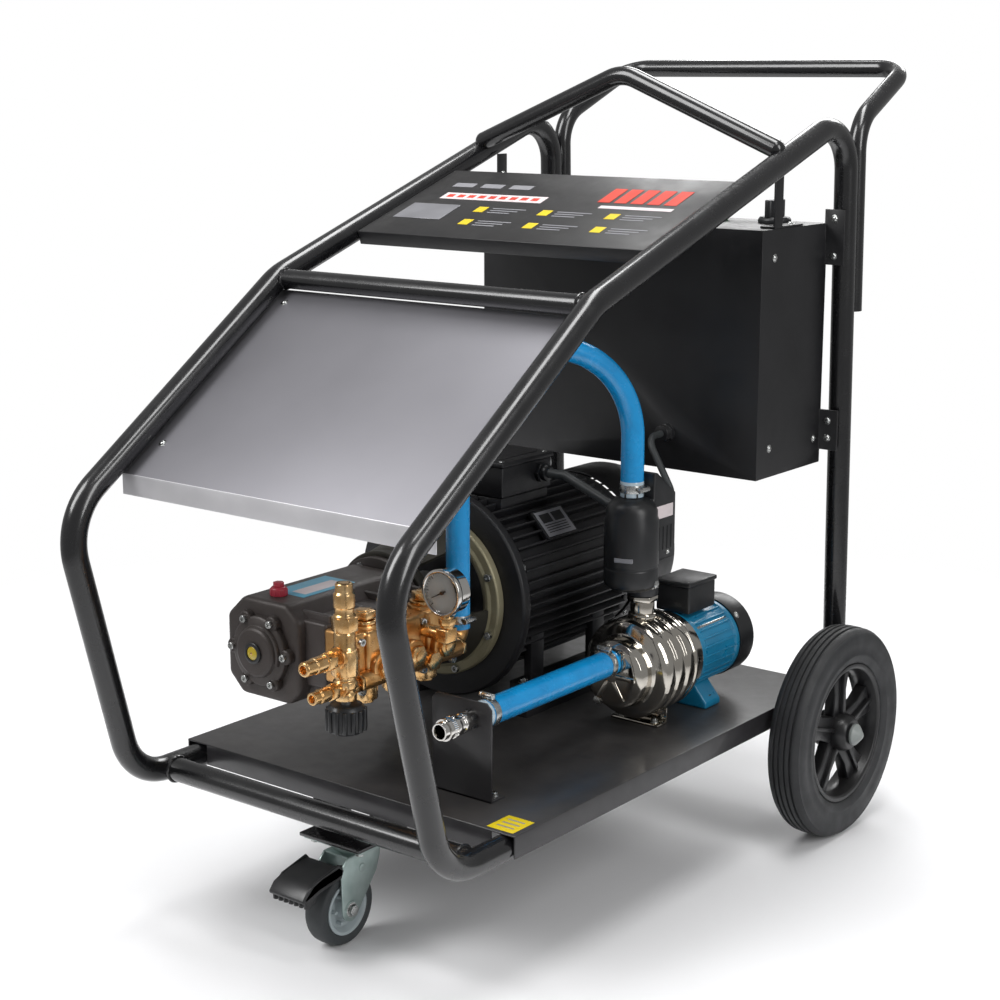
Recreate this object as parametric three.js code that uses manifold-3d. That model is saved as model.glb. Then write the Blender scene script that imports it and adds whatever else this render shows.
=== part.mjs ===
// Three-wheeled electric pressure washer: a bent-tube cart that carries a flange motor,
// a brass-headed plunger pump, a booster pump with its controller and a control box.
// Millimetres, +Z up, +Y towards the push handle, +X to the right of the machine.

import * as THREE from 'three';
import { mergeVertices } from 'three/addons/utils/BufferGeometryUtils.js';
import Module from 'manifold-3d';

const wasm = await Module();
wasm.setup();

// ------------------------------------------------------------------ driving dimensions

const GAP = 0.3;                 // clearance between pieces that touch
const RUNNING = 0.3;             // radial clearance of everything that turns

const WHEEL_R = 157.5;           // the rear wheels set the height of the rails

// Side hoops: one bent tube each side, in the planes x = +-HOOP_X
const HOOP_X = 265;
const TUBE_R = 16.85;            // 33.7 mm tube
const TUBE_WALL = 2.6;
const AXLE_DROP = 38.5;          // rear axle below the centre line of the bottom rails
const RAIL_Z = WHEEL_R + AXLE_DROP;
const UPRIGHT_FOOT_Y = -942;     // corner between bottom rail and front upright
const NOSE_Y = -1035;            // corner between front upright and steep slope
const NOSE_Z = 567;
const KNEE_Y = -648;             // corner between steep and shallow slope
const KNEE_Z = 838;
const TOP_Y = -22;               // corner between shallow slope and rear leg
const TOP_Z = 1056.3;
const LEG_END_Z = RAIL_Z - TUBE_R;
const FOOT_BEND = 75;
const NOSE_BEND = 90;
const KNEE_BEND = 110;
const KNEE_DROP = 1.3;           // the bend passes this far under its corner
const TOP_BEND = 60;

// Small tubes
const SMALL_R = 13.45;           // 26.9 mm tube
const SMALL_WALL = 2.3;
const FRONT_CROSS_Y = UPRIGHT_FOOT_Y + 62;
const ARCH_Y = -205;
const ARCH_SEAT = 13.5;          // its feet stand this far over the hoops' centre lines
const ARCH_RISE = 106;
const ARCH_BEND = 60;
const HANDLE_BAR_X = HOOP_X - 12;
const HANDLE_LOW_Z = 768;
const HANDLE_BEND_Z = 1040;
const HANDLE_BAR_Y = 179;
const HANDLE_BAR_Z = 1118;
const HANDLE_BEND = 62;
const HANDLE_CORNER = 46;

// Base tray and what is welded to it
const TRAY_T = 2.5;
const TRAY_TOP = RAIL_Z + TUBE_R + TRAY_T + 0.65;
const TRAY_FRONT = -826;
const TRAY_REAR = -61;
const TRAY_LIP = 30;
const MOTOR_RAIL_H = 30;
const MOTOR_RAIL_W = 44;

// Rear wheels
const WHEEL_W = 54;
const WHEEL_Y = -94;
const WHEEL_INNER_X = HOOP_X + 28;
const RIM_R = 104;
const AXLE_R = 10;
const WHEEL_FACETS = 32;

// Swivel caster
const CASTER_R = 51;
const CASTER_W = 32;
const CASTER_Y = -802;           // swivel axis
const CASTER_TRAIL = 30;
const CASTER_TURN = 0;           // degrees that the fork stands turned at rest
const CASTER_TOP = CASTER_R + 89;  // top of the caster's plate

// Sheet metal on the frame
const COVER_HALF_W = HOOP_X - 3;
const COVER_T = 1.5;
const COVER_LOW_Y = -952;
const COVER_LIP = 27;
const PANEL_LOW_Y = -503;
const PANEL_HIGH_Y = -283;
const PANEL_T = 3;
const BOX_HALF_W = HOOP_X - 19;
const BOX_FRONT = -218;
const BOX_REAR = -36;
const BOX_LOW = 546;
const BOX_HIGH = 899;
const SHEET_T = 2;

// Drive line: motor, bell housing and plunger pump on one axis
const DRIVE_X = -90;
const DRIVE_Z = TRAY_TOP + MOTOR_RAIL_H + 144;
const MOTOR_FACE = -515;         // flange face
const MOTOR_FRONT = -475;
const MOTOR_REAR = -215;
const SHIELD_REAR = -190;
const COWL_REAR = -100;
const MOTOR_R = 130;             // over the fins
const MOTOR_ROOT_R = 117;
const MOTOR_BORE = 62.5;
const FLANGE_R = 150;
const SHAFT_R = 19;
const FIN_COUNT = 36;
const BELL_R = 116;
const PUMP_REAR = -640;
const PUMP_FRONT = -868;
const CRANK_BORE = 34;
const CRANK_R = 14;
const PLUNGER_YS = [-820, -762, -704];

// Brass head of the pump
const HEAD_LOW_X = 8;
const HEAD_HIGH_X = 70;
const HEAD_FRONT = -862;
const HEAD_REAR = -662;
const HEAD_LOW_Z = DRIVE_Z - 35;
const VALVE_FOOT = 20;           // the valve columns stand out this far under the block
const HEAD_HIGH_Z = DRIVE_Z + 56;
const UNLOADER_X = 68;
const UNLOADER_Y = -885;
const GAUGE_X = 104;
const GAUGE_FACE_Y = -747;
const GAUGE_Z = DRIVE_Z + 81;
const GAUGE_R = 31;
const GAUGE_DEPTH = 28;

// Water line
const LINE_X = 162;
const LINE_Z = TRAY_TOP + 104;
const HOSE_R = 18;
const FEED_R = 16;
const BARB_R = 13;
const PLATE_Y = -759;
const HEAD_INLET_X = 42;
const HEAD_INLET_Y = -635;
const HEAD_INLET_Z = DRIVE_Z - 14;
const HEAD_INLET_TOP = HEAD_INLET_Z + 46;
const ELBOW_R = 14;

// Booster pump and its controller
const NECK_RISE = 20;            // the suction neck stands this far above the shaft
const BOOSTER_Z = LINE_Z - NECK_RISE;
const BOOSTER_NECK = -470;
const BOOSTER_R = 71;
const BOOSTER_BODY_FRONT = -415;
const BOOSTER_BODY_REAR = -330;
const BOOSTER_MOTOR_FRONT = -310;
const BOOSTER_MOTOR_REAR = -205;
const BOOSTER_MOTOR_R = 58;
const CONTROLLER_Y = -405;
const CONTROLLER_R = 38;
const CONTROLLER_LOW = LINE_Z + BOOSTER_R + 10;
const CONTROLLER_TOP = CONTROLLER_LOW + 144;

// ------------------------------------------------------------------ helpers

const degrees = THREE.MathUtils.degToRad;

/** A closed three.js geometry as a manifold solid. */
function solid(geometry) {
  const bare = geometry.index ? geometry.toNonIndexed() : geometry.clone();
  bare.deleteAttribute('normal');
  bare.deleteAttribute('uv');
  const merged = mergeVertices(bare, 1e-4);
  return new wasm.Manifold(new wasm.Mesh({
    numProp: 3,
    vertProperties: new Float32Array(merged.attributes.position.array),
    triVerts: new Uint32Array(merged.index.array),
  }));
}

/** A box between two corners. */
function box(x0, x1, y0, y1, z0, z1) {
  const geometry = new THREE.BoxGeometry(x1 - x0, y1 - y0, z1 - z0);
  return solid(geometry.translate((x0 + x1) / 2, (y0 + y1) / 2, (z0 + z1) / 2));
}

const AXIS_TURN = { x: [0, 0, -Math.PI / 2], y: [0, 0, 0], z: [Math.PI / 2, 0, 0] };

/** Turns a geometry made about Y to stand about another axis and moves it. */
function placed(geometry, axis, x, y, z) {
  const [turnX, turnY, turnZ] = AXIS_TURN[axis];
  return solid(geometry.rotateX(turnX).rotateY(turnY).rotateZ(turnZ).translate(x, y, z));
}

/** A cylinder along an axis from one coordinate to another; at gives the other two. */
function rod(axis, radius, from, to, at, sides = 16) {
  const geometry = new THREE.CylinderGeometry(radius, radius, Math.abs(to - from), sides);
  const mid = (from + to) / 2;
  if (axis === 'x') return placed(geometry, 'x', mid, at[0], at[1]);
  if (axis === 'y') return placed(geometry, 'y', at[0], mid, at[1]);
  return placed(geometry, 'z', at[0], at[1], mid);
}

/** A hexagonal or other straight prism is a rod with few sides. */
const prism = rod;

/** A ring-shaped profile of [radius, height] points turned about an axis line. */
function turned(axis, profile, x, y, z, segments = 24) {
  const points = profile.map(([r, h]) => new THREE.Vector2(r, h));
  if (profile[0][0] > 0) points.push(points[0].clone());
  const geometry = new THREE.LatheGeometry(points, segments);
  const piece = placed(geometry, axis, x, y, z);
  return piece.volume() > 0 ? piece : solid(flipped(geometry));
}

/** The same geometry with its faces turned round. */
function flipped(geometry) {
  const index = geometry.index.array;
  for (let i = 0; i < index.length; i += 3) {
    [index[i], index[i + 1]] = [index[i + 1], index[i]];
  }
  return geometry;
}

/** A route through corners, each rounded by a bend; it is sampled only where it bends. */
class BentRoute extends THREE.Curve {
  constructor(corners, bends, stepsPerBend = 4) {
    super();
    const points = corners.map((corner) => new THREE.Vector3(...corner));
    const last = points.length - 1;
    const first = points[1].clone().sub(points[0]).normalize();
    this.stations = [{ point: points[0], tangent: first }];
    for (let i = 1; i < last; i += 1) {
      this.addBend(points[i - 1], points[i], points[i + 1], bends[i - 1], stepsPerBend);
    }
    const end = points[last].clone().sub(points[last - 1]).normalize();
    this.stations.push({ point: points[last], tangent: end });
  }

  addBend(before, corner, after, radius, steps) {
    const into = corner.clone().sub(before).normalize();
    const out = after.clone().sub(corner).normalize();
    const angle = into.angleTo(out);
    const start = corner.clone().addScaledVector(into, -radius * Math.tan(angle / 2));
    const side = out.clone().addScaledVector(into, -out.dot(into)).normalize();
    for (let k = 0; k <= steps; k += 1) {
      const turn = (angle * k) / steps;
      const point = start.clone().addScaledVector(into, radius * Math.sin(turn));
      point.addScaledVector(side, radius * (1 - Math.cos(turn)));
      const tangent = into.clone().multiplyScalar(Math.cos(turn));
      this.stations.push({ point, tangent: tangent.addScaledVector(side, Math.sin(turn)) });
    }
  }

  get steps() {
    return this.stations.length - 1;
  }

  at(u, what) {
    const place = Math.min(Math.max(u, 0), 1) * this.steps;
    const low = Math.min(Math.floor(place + 1e-6), this.steps - 1);
    return this.stations[low][what].clone().lerp(this.stations[low + 1][what], place - low);
  }

  getPoint(u, target = new THREE.Vector3()) {
    return target.copy(this.at(u, 'point'));
  }

  getPointAt(u, target = new THREE.Vector3()) {
    return target.copy(this.at(u, 'point'));
  }

  getTangentAt(u, target = new THREE.Vector3()) {
    return target.copy(this.at(u, 'tangent').normalize());
  }
}

/** The corners of a regular polygon around the origin. */
function polygon(radius, sides) {
  const corner = (k) => (2 * Math.PI * (k + 0.5)) / sides;
  return Array.from({ length: sides }, (_, k) => new THREE.Vector2(
    radius * Math.cos(corner(k)),
    radius * Math.sin(corner(k)),
  ));
}

/** A round tube, or a solid bar where the bore is 0, along a route. */
function swept(route, radius, bore = 0, sides = 12, boreSides = 8) {
  const section = new THREE.Shape(polygon(radius, sides));
  if (bore > 0) section.holes.push(new THREE.Path(polygon(bore, boreSides)));
  const options = { steps: route.steps, extrudePath: route, bevelEnabled: false };
  return solid(new THREE.ExtrudeGeometry(section, options));
}

/** An outline in the XZ plane made thick along Y, from one y to another. */
function slab(outline, y0, y1, holes = []) {
  const shape = new THREE.Shape(outline.map(([x, z]) => new THREE.Vector2(x, z)));
  holes.forEach((hole) => shape.holes.push(new THREE.Path(
    hole.map(([x, z]) => new THREE.Vector2(x, z)),
  )));
  const geometry = new THREE.ExtrudeGeometry(shape, { depth: y1 - y0, bevelEnabled: false });
  return solid(geometry.rotateX(Math.PI / 2).translate(0, y1, 0));
}

/** An outline in the YZ plane made thick along X, from one x to another. */
function sidePlate(outline, x0, x1) {
  const shape = new THREE.Shape(outline.map(([y, z]) => new THREE.Vector2(y, z)));
  const geometry = new THREE.ExtrudeGeometry(shape, { depth: x1 - x0, bevelEnabled: false });
  const turn = new THREE.Matrix4().makeBasis(
    new THREE.Vector3(0, 1, 0),
    new THREE.Vector3(0, 0, 1),
    new THREE.Vector3(1, 0, 0),
  );
  return solid(geometry.applyMatrix4(turn).translate(x0, 0, 0));
}

/** Points of an arc as [a, b] pairs, angles in degrees. */
function arc(a, b, radius, from, to, steps) {
  return Array.from({ length: steps + 1 }, (_, k) => {
    const angle = degrees(from + ((to - from) * k) / steps);
    return [a + radius * Math.cos(angle), b + radius * Math.sin(angle)];
  });
}

/** Joins several solids into one. */
const joined = (first, ...others) => others.reduce((sum, piece) => sum.add(piece), first);

/** Cuts several solids out of one. */
const cut = (first, ...others) => others.reduce((rest, piece) => rest.subtract(piece), first);

const FINISHES = {
  blackPaint: { color: 0x141516, roughness: 0.32, metalness: 0.1 },
  satinBlack: { color: 0x1c1d1f, roughness: 0.5, metalness: 0.1 },
  motorBlack: { color: 0x101113, roughness: 0.55, metalness: 0.1 },
  stainless: { color: 0x9c9a9b, roughness: 0.3, metalness: 1.0 },
  polished: { color: 0xb9b4ab, roughness: 0.12, metalness: 1.0 },
  steel: { color: 0x8d9293, roughness: 0.35, metalness: 1.0 },
  zinc: { color: 0x98a5a2, roughness: 0.4, metalness: 0.9 },
  chrome: { color: 0xc9c7c2, roughness: 0.1, metalness: 1.0 },
  brass: { color: 0xb98a45, roughness: 0.35, metalness: 1.0 },
  castOlive: { color: 0x6b6450, roughness: 0.5, metalness: 0.6 },
  castGrey: { color: 0x34302f, roughness: 0.55, metalness: 0.3 },
  rubber: { color: 0x17191b, roughness: 0.8, metalness: 0.0 },
  blackPlastic: { color: 0x18191b, roughness: 0.45, metalness: 0.0 },
  hubGrey: { color: 0x9fa6a8, roughness: 0.45, metalness: 0.0 },
  hoseBlue: { color: 0x1d86c8, roughness: 0.35, metalness: 0.0 },
  motorBlue: { color: 0x126a9e, roughness: 0.4, metalness: 0.1 },
  yellow: { color: 0xb9a12a, roughness: 0.3, metalness: 0.0 },
  red: { color: 0xa02c38, roughness: 0.4, metalness: 0.0 },
  green: { color: 0x2d8a4a, roughness: 0.4, metalness: 0.0 },
  dialWhite: { color: 0xd8d8d4, roughness: 0.3, metalness: 0.0 },
};

const washer = new THREE.Group();

/** Adds a solid to a group as a named mesh with its own material. */
function add(name, piece, finish, group = washer) {
  const { numProp, vertProperties, triVerts } = piece.getMesh();
  const positions = new Float32Array((vertProperties.length / numProp) * 3);
  for (let i = 0; i < positions.length / 3; i += 1) {
    positions.set(vertProperties.subarray(i * numProp, i * numProp + 3), i * 3);
  }
  const geometry = new THREE.BufferGeometry();
  geometry.setAttribute('position', new THREE.BufferAttribute(positions, 3));
  geometry.setIndex(new THREE.BufferAttribute(new Uint32Array(triVerts), 1));
  geometry.computeVertexNormals();
  const mesh = new THREE.Mesh(geometry, new THREE.MeshStandardMaterial(FINISHES[finish]));
  mesh.name = name;
  group.add(mesh);
}

// ------------------------------------------------------------------ frame

const slopeAt = (y) => KNEE_Z + ((TOP_Z - KNEE_Z) * (y - KNEE_Y)) / (TOP_Y - KNEE_Y);
const steepAt = (y) => NOSE_Z + ((KNEE_Z - NOSE_Z) * (y - NOSE_Y)) / (KNEE_Y - NOSE_Y);

function hoopRoute(x) {
  return new BentRoute([
    [x, -TUBE_R - GAP, RAIL_Z],
    [x, UPRIGHT_FOOT_Y, RAIL_Z],
    [x, NOSE_Y, NOSE_Z],
    [x, KNEE_Y, KNEE_Z],
    [x, TOP_Y, TOP_Z],
    [x, 0, LEG_END_Z],
  ], [FOOT_BEND, NOSE_BEND, KNEE_BEND, TOP_BEND]);
}

/** A hoop grown by the clearance, for coping what meets it. */
const hoopKeepOut = (x) => swept(hoopRoute(x), TUBE_R + GAP);

function hoop(x) {
  const tube = swept(hoopRoute(x), TUBE_R, TUBE_R - TUBE_WALL);
  const weld = box(x - 9, x + 9, -TUBE_R - 25, -TUBE_R + TUBE_WALL, RAIL_Z - 9, RAIL_Z + 9);
  const bracket = box(x - 8, x + 8, WHEEL_Y - 26, WHEEL_Y + 26, WHEEL_R - 18, RAIL_Z - TUBE_R + 2);
  const bore = rod('x', AXLE_R + RUNNING, x - 20, x + 20, [WHEEL_Y, WHEEL_R]);
  return cut(joined(tube, weld, bracket), bore);
}

add('left_side_hoop', hoop(-HOOP_X), 'blackPaint');
add('right_side_hoop', hoop(HOOP_X), 'blackPaint');

/** A straight tube from hoop to hoop, coped to fit both. */
function crossTube(y, z, radius, wall) {
  const route = new BentRoute([[-HOOP_X, y, z], [HOOP_X, y, z]], []);
  return cut(swept(route, radius, radius - wall), hoopKeepOut(-HOOP_X), hoopKeepOut(HOOP_X));
}

/** The largest of the pieces that a solid falls into. */
function largest(piece) {
  return piece.decompose().sort((a, b) => b.volume() - a.volume())[0];
}

const frontCross = crossTube(FRONT_CROSS_Y, RAIL_Z, TUBE_R - 0.5, TUBE_WALL);
add('front_cross_tube', largest(frontCross), 'blackPaint');
const panelCross = crossTube(KNEE_Y, KNEE_Z - KNEE_DROP, SMALL_R, SMALL_WALL);
add('panel_cross_tube', largest(panelCross), 'blackPaint');

const archFootZ = slopeAt(ARCH_Y) + ARCH_SEAT;
const archRoute = new BentRoute([
  [-HOOP_X, ARCH_Y, archFootZ],
  [0, ARCH_Y, archFootZ + ARCH_RISE],
  [HOOP_X, ARCH_Y, archFootZ],
], [ARCH_BEND]);
add('lifting_arch', largest(cut(
  swept(archRoute, SMALL_R, SMALL_R - SMALL_WALL),
  hoopKeepOut(-HOOP_X),
  hoopKeepOut(HOOP_X),
)), 'blackPaint');

/** The rear legs lean; this follows one, at the distance of a tube welded behind it. */
const handleLegY = (z) => (
  TOP_Y - (TOP_Y * (TOP_Z - z)) / (TOP_Z - LEG_END_Z) + TUBE_R + SMALL_R + 2 * GAP
);
const handleRoute = new BentRoute([
  [HOOP_X, handleLegY(HANDLE_LOW_Z), HANDLE_LOW_Z],
  [HOOP_X, handleLegY(HANDLE_BEND_Z), HANDLE_BEND_Z],
  [HANDLE_BAR_X, HANDLE_BAR_Y, HANDLE_BAR_Z],
  [-HANDLE_BAR_X, HANDLE_BAR_Y, HANDLE_BAR_Z],
  [-HOOP_X, handleLegY(HANDLE_BEND_Z), HANDLE_BEND_Z],
  [-HOOP_X, handleLegY(HANDLE_LOW_Z), HANDLE_LOW_Z],
], [HANDLE_BEND, HANDLE_CORNER, HANDLE_CORNER, HANDLE_BEND]);
add('push_handle', swept(handleRoute, SMALL_R, SMALL_R - SMALL_WALL), 'blackPaint');

// ------------------------------------------------------------------ tray

const railSide = HOOP_X + TUBE_R + GAP;
const trayHalf = railSide + TRAY_T;
const trayUnder = TRAY_TOP - TRAY_T;
const lipLow = TRAY_TOP - TRAY_LIP;
const betweenRails = HOOP_X - TUBE_R - GAP;

function motorRail(side) {
  const x = DRIVE_X + side * 100;
  const half = MOTOR_RAIL_W / 2;
  const top = TRAY_TOP + MOTOR_RAIL_H;
  const outer = box(x - half, x + half, -470, -230, trayUnder + 1, top);
  return cut(outer, box(x - half + 4, x + half - 4, -480, -220, TRAY_TOP, top - 5));
}

function inletPlate() {
  const upright = box(LINE_X - 62, LINE_X + 34, PLATE_Y, PLATE_Y + 3, trayUnder + 1, LINE_Z + 26);
  const foot = box(LINE_X - 62, LINE_X + 34, PLATE_Y, PLATE_Y + 28, trayUnder + 1, TRAY_TOP + 3);
  return cut(joined(upright, foot), rod('y', 11 + GAP, PLATE_Y - 5, PLATE_Y + 8, [LINE_X, LINE_Z]));
}

function casterPedestal() {
  const low = CASTER_TOP + GAP;
  const plate = box(-52, 52, CASTER_Y - 48, CASTER_Y + 48, low, low + 5);
  const behindLip = TRAY_FRONT + TRAY_T + GAP;
  const wall = (x) => box(x, x + 5, behindLip, CASTER_Y + 48, low, trayUnder - GAP);
  return joined(plate, wall(-52), wall(47));
}

add('base_tray', joined(
  box(-trayHalf, trayHalf, TRAY_FRONT, TRAY_REAR, trayUnder, TRAY_TOP),
  box(-trayHalf, -railSide, TRAY_FRONT, TRAY_REAR, lipLow, TRAY_TOP),
  box(railSide, trayHalf, TRAY_FRONT, TRAY_REAR, lipLow, TRAY_TOP),
  box(-betweenRails, betweenRails, TRAY_FRONT, TRAY_FRONT + TRAY_T, lipLow, TRAY_TOP),
  box(-betweenRails, betweenRails, TRAY_REAR - TRAY_T, TRAY_REAR, lipLow, TRAY_TOP),
  motorRail(-1),
  motorRail(1),
  inletPlate(),
), 'satinBlack');
add('caster_pedestal', casterPedestal(), 'blackPaint');

// ------------------------------------------------------------------ rear wheels

const wheelOuterX = WHEEL_INNER_X + WHEEL_W;
const wheelMidX = WHEEL_INNER_X + WHEEL_W / 2;
const half = WHEEL_W / 2;
add('rear_axle', joined(
  rod('x', AXLE_R, -wheelOuterX - 14, wheelOuterX + 14, [WHEEL_Y, WHEEL_R]),
  rod('x', 16, wheelOuterX + 5, wheelOuterX + 20, [WHEEL_Y, WHEEL_R]),
  rod('x', 16, -wheelOuterX - 20, -wheelOuterX - 5, [WHEEL_Y, WHEEL_R]),
), 'steel');

function tyre() {
  return [
    [RIM_R + 0.3, -half + 5], [RIM_R + 16, -half + 1], [RIM_R + 36, -half],
    [WHEEL_R - 8, -half + 4], [WHEEL_R - 1, -half + 12], [WHEEL_R, 0],
    [WHEEL_R - 1, half - 12], [WHEEL_R - 8, half - 4], [RIM_R + 36, half],
    [RIM_R + 16, half - 1], [RIM_R + 0.3, half - 5],
  ];
}

function rim(x) {
  const ring = turned('x', [
    [RIM_R - 12, -half + 8], [RIM_R, -half + 5], [RIM_R, half - 5], [RIM_R - 12, half - 8],
  ], x, WHEEL_Y, WHEEL_R, WHEEL_FACETS);
  const hub = rod('x', 27, x - half + 2, x + half + 3, [WHEEL_Y, WHEEL_R]);
  const spokes = Array.from({ length: 5 }, (_, k) => {
    const spoke = new THREE.BoxGeometry(20, 30, RIM_R - 26);
    spoke.translate(0, 0, (RIM_R + 14) / 2).rotateX((2 * Math.PI * k) / 5);
    return solid(spoke.translate(x, WHEEL_Y, WHEEL_R));
  });
  const bore = rod('x', AXLE_R + RUNNING, x - WHEEL_W, x + WHEEL_W, [WHEEL_Y, WHEEL_R]);
  return cut(joined(ring, hub, ...spokes), bore);
}

for (const [name, side] of [['left', -1], ['right', 1]]) {
  const x = side * wheelMidX;
  add(`${name}_tyre`, turned('x', tyre(), x, WHEEL_Y, WHEEL_R, WHEEL_FACETS), 'rubber');
  add(`${name}_rim`, rim(x), 'blackPlastic');
}

// ------------------------------------------------------------------ caster

const caster = new THREE.Group();
caster.position.set(0, CASTER_Y, 0);
caster.rotation.z = -degrees(CASTER_TURN);
washer.add(caster);

const forkGap = CASTER_W / 2 + 3;
const forkTop = CASTER_TOP - 16;
add('caster_plate', joined(
  box(-50, 50, CASTER_Y - 42, CASTER_Y + 42, CASTER_TOP - 4, CASTER_TOP),
  rod('z', 24, CASTER_TOP - 12, CASTER_TOP - 4, [0, CASTER_Y]),
), 'zinc');

function forkCheek(x0, x1) {
  return sidePlate([
    ...arc(-CASTER_TRAIL, CASTER_R, 15, 180, 340, 6),
    [26, forkTop - 26], [28, forkTop], [-34, forkTop], [-46, forkTop - 20],
  ], x0, x1);
}

add('caster_fork', cut(joined(
  forkCheek(-forkGap - 3, -forkGap),
  forkCheek(forkGap, forkGap + 3),
  box(-forkGap - 3, forkGap + 3, -34, 28, forkTop - 3, forkTop),
  rod('z', 27, forkTop - 1, CASTER_TOP - 12 - GAP, [0, 0]),
), rod('x', 5 + RUNNING, -40, 40, [-CASTER_TRAIL, CASTER_R])), 'zinc', caster);
add('caster_axle', joined(
  rod('x', 5, -forkGap - 8, forkGap + 8, [-CASTER_TRAIL, CASTER_R]),
  prism('x', 9, forkGap + 3 + GAP, forkGap + 9, [-CASTER_TRAIL, CASTER_R], 6),
  prism('x', 9, -forkGap - 9, -forkGap - 3 - GAP, [-CASTER_TRAIL, CASTER_R], 6),
), 'steel', caster);
const tread = CASTER_W / 2;
add('caster_tyre', turned('x', [
  [36.3, -tread + 1], [CASTER_R - 5, -tread], [CASTER_R - 1, -tread + 4], [CASTER_R, 0],
  [CASTER_R - 1, tread - 4], [CASTER_R - 5, tread], [36.3, tread - 1],
], 0, -CASTER_TRAIL, CASTER_R, 28), 'rubber', caster);
add('caster_hub', turned('x', [
  [5 + RUNNING, -tread - 1], [14, -tread - 1], [15, -6], [30, -6], [32, -tread + 1],
  [36, -tread + 1], [36, tread - 1], [32, tread - 1], [30, 6], [15, 6], [14, tread + 1],
  [5 + RUNNING, tread + 1],
], 0, -CASTER_TRAIL, CASTER_R), 'hubGrey', caster);

function pedal() {
  const outline = [
    [-51, 115], [-53, 108], [-64, 106], [-96, 102], [-123, 93], [-128, 97], [-119, 108],
    [-92, 117.5], [-60, 122],
  ];
  const plate = sidePlate(outline, -30, 30);
  const ribs = Array.from({ length: 6 }, (_, k) => {
    const x = -27 + k * 10;
    return sidePlate([[-99, 103], [-121, 96], [-122, 84], [-104, 88]], x, x + 4);
  });
  return joined(plate, ...ribs);
}
add('caster_brake_pedal', pedal(), 'blackPlastic', caster);

// ------------------------------------------------------------------ covers on the frame

const steepAngle = Math.atan2(KNEE_Z - NOSE_Z, KNEE_Y - NOSE_Y);
const coverTop = TUBE_R + GAP;   // the sheet lies under the tubes
function frontCover() {
  const across = (y, offset) => [
    y + offset * Math.sin(steepAngle),
    steepAt(y) - offset * Math.cos(steepAngle),
  ];
  const [lowY, lowZ] = across(COVER_LOW_Y, coverTop);
  const [highY, highZ] = across(KNEE_Y - 4, coverTop);
  const [underY, underZ] = across(KNEE_Y - 4, coverTop + COVER_T);
  const [innerY, innerZ] = across(COVER_LOW_Y + 3, coverTop + COVER_T);
  return sidePlate([
    [lowY, lowZ], [highY, highZ], [underY, underZ], [innerY, innerZ],
    [lowY + COVER_T, lowZ - 2], [lowY + COVER_T, lowZ - COVER_LIP], [lowY, lowZ - COVER_LIP],
  ], -COVER_HALF_W, COVER_HALF_W);
}
add('front_cover', frontCover(), 'stainless');

const panelHalf = betweenRails - 0.2;
const slopeAngle = Math.atan2(TOP_Z - KNEE_Z, TOP_Y - KNEE_Y);
function controlPanel() {
  const at = (y, drop) => [y + drop * Math.sin(slopeAngle), slopeAt(y) - drop * Math.cos(slopeAngle)];
  const lip = 16;
  return sidePlate([
    at(PANEL_LOW_Y, -4), at(PANEL_HIGH_Y, -4), at(PANEL_HIGH_Y, lip),
    at(PANEL_HIGH_Y - PANEL_T, lip), at(PANEL_HIGH_Y - PANEL_T, PANEL_T - 4),
    at(PANEL_LOW_Y + PANEL_T, PANEL_T - 4), at(PANEL_LOW_Y + PANEL_T, lip), at(PANEL_LOW_Y, lip),
  ], -panelHalf, panelHalf);
}
add('control_panel', controlPanel(), 'satinBlack');

// ------------------------------------------------------------------ control box

const SWITCH = { x: 186, y: -84 };
const START = { x: 96, y: -84 };
const STOP = { x: 40, y: -84 };
const BUTTON_R = 13;
const CABLE_R = 7;
const CONTROLLER_CABLE_X = 96;
const CONTROLLER_CABLE_Z = 600;

function controlBox() {
  const shell = box(-BOX_HALF_W, BOX_HALF_W, BOX_FRONT, BOX_REAR, BOX_LOW, BOX_HIGH);
  const inside = box(
    -BOX_HALF_W + SHEET_T, BOX_HALF_W - SHEET_T, BOX_FRONT + SHEET_T, BOX_REAR + 10,
    BOX_LOW + SHEET_T, BOX_HIGH - SHEET_T,
  );
  const tab = (x, z0, z1) => box(x, x + 32, BOX_REAR - 4, BOX_REAR, z0, z1);
  const tabs = [[BOX_LOW + 20, BOX_LOW + 80], [BOX_HIGH - 60, BOX_HIGH + 20]].flatMap(([z0, z1]) => [
    tab(BOX_HALF_W - 2, z0, z1), tab(-BOX_HALF_W - 30, z0, z1),
  ]);
  const hole = (at) => rod('z', BUTTON_R - 3 + GAP, BOX_HIGH - 8, BOX_HIGH + 8, [at.x, at.y]);
  const gland = rod(
    'y', CABLE_R + 5, BOX_FRONT - 18, BOX_FRONT + 1, [CONTROLLER_CABLE_X, CONTROLLER_CABLE_Z], 16,
  );
  return cut(joined(cut(shell, inside), ...tabs, gland), hole(START), hole(STOP));
}
add('control_box', controlBox(), 'satinBlack');
add('box_back_cover', box(
  -BOX_HALF_W + 1, BOX_HALF_W - 1, BOX_REAR + GAP, BOX_REAR + GAP + SHEET_T, BOX_LOW + 1, BOX_HIGH - 1,
), 'satinBlack');

function hanger(side) {
  const reach = slopeAt(-175) - TUBE_R + 4;
  const inner = Math.min(side * (BOX_HALF_W - 3), side * BOX_HALF_W);
  const upright = box(inner, inner + 3, -186, -164, BOX_HIGH + GAP, reach);
  const low = Math.min(side * (BOX_HALF_W - 24), side * BOX_HALF_W);
  const foot = box(low, low + 24, -186, -106, BOX_HIGH + GAP, BOX_HIGH + GAP + 3);
  return cut(joined(upright, foot), hoopKeepOut(side * HOOP_X));
}
add('box_hanger_left', hanger(-1), 'satinBlack');
add('box_hanger_right', hanger(1), 'satinBlack');

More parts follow.
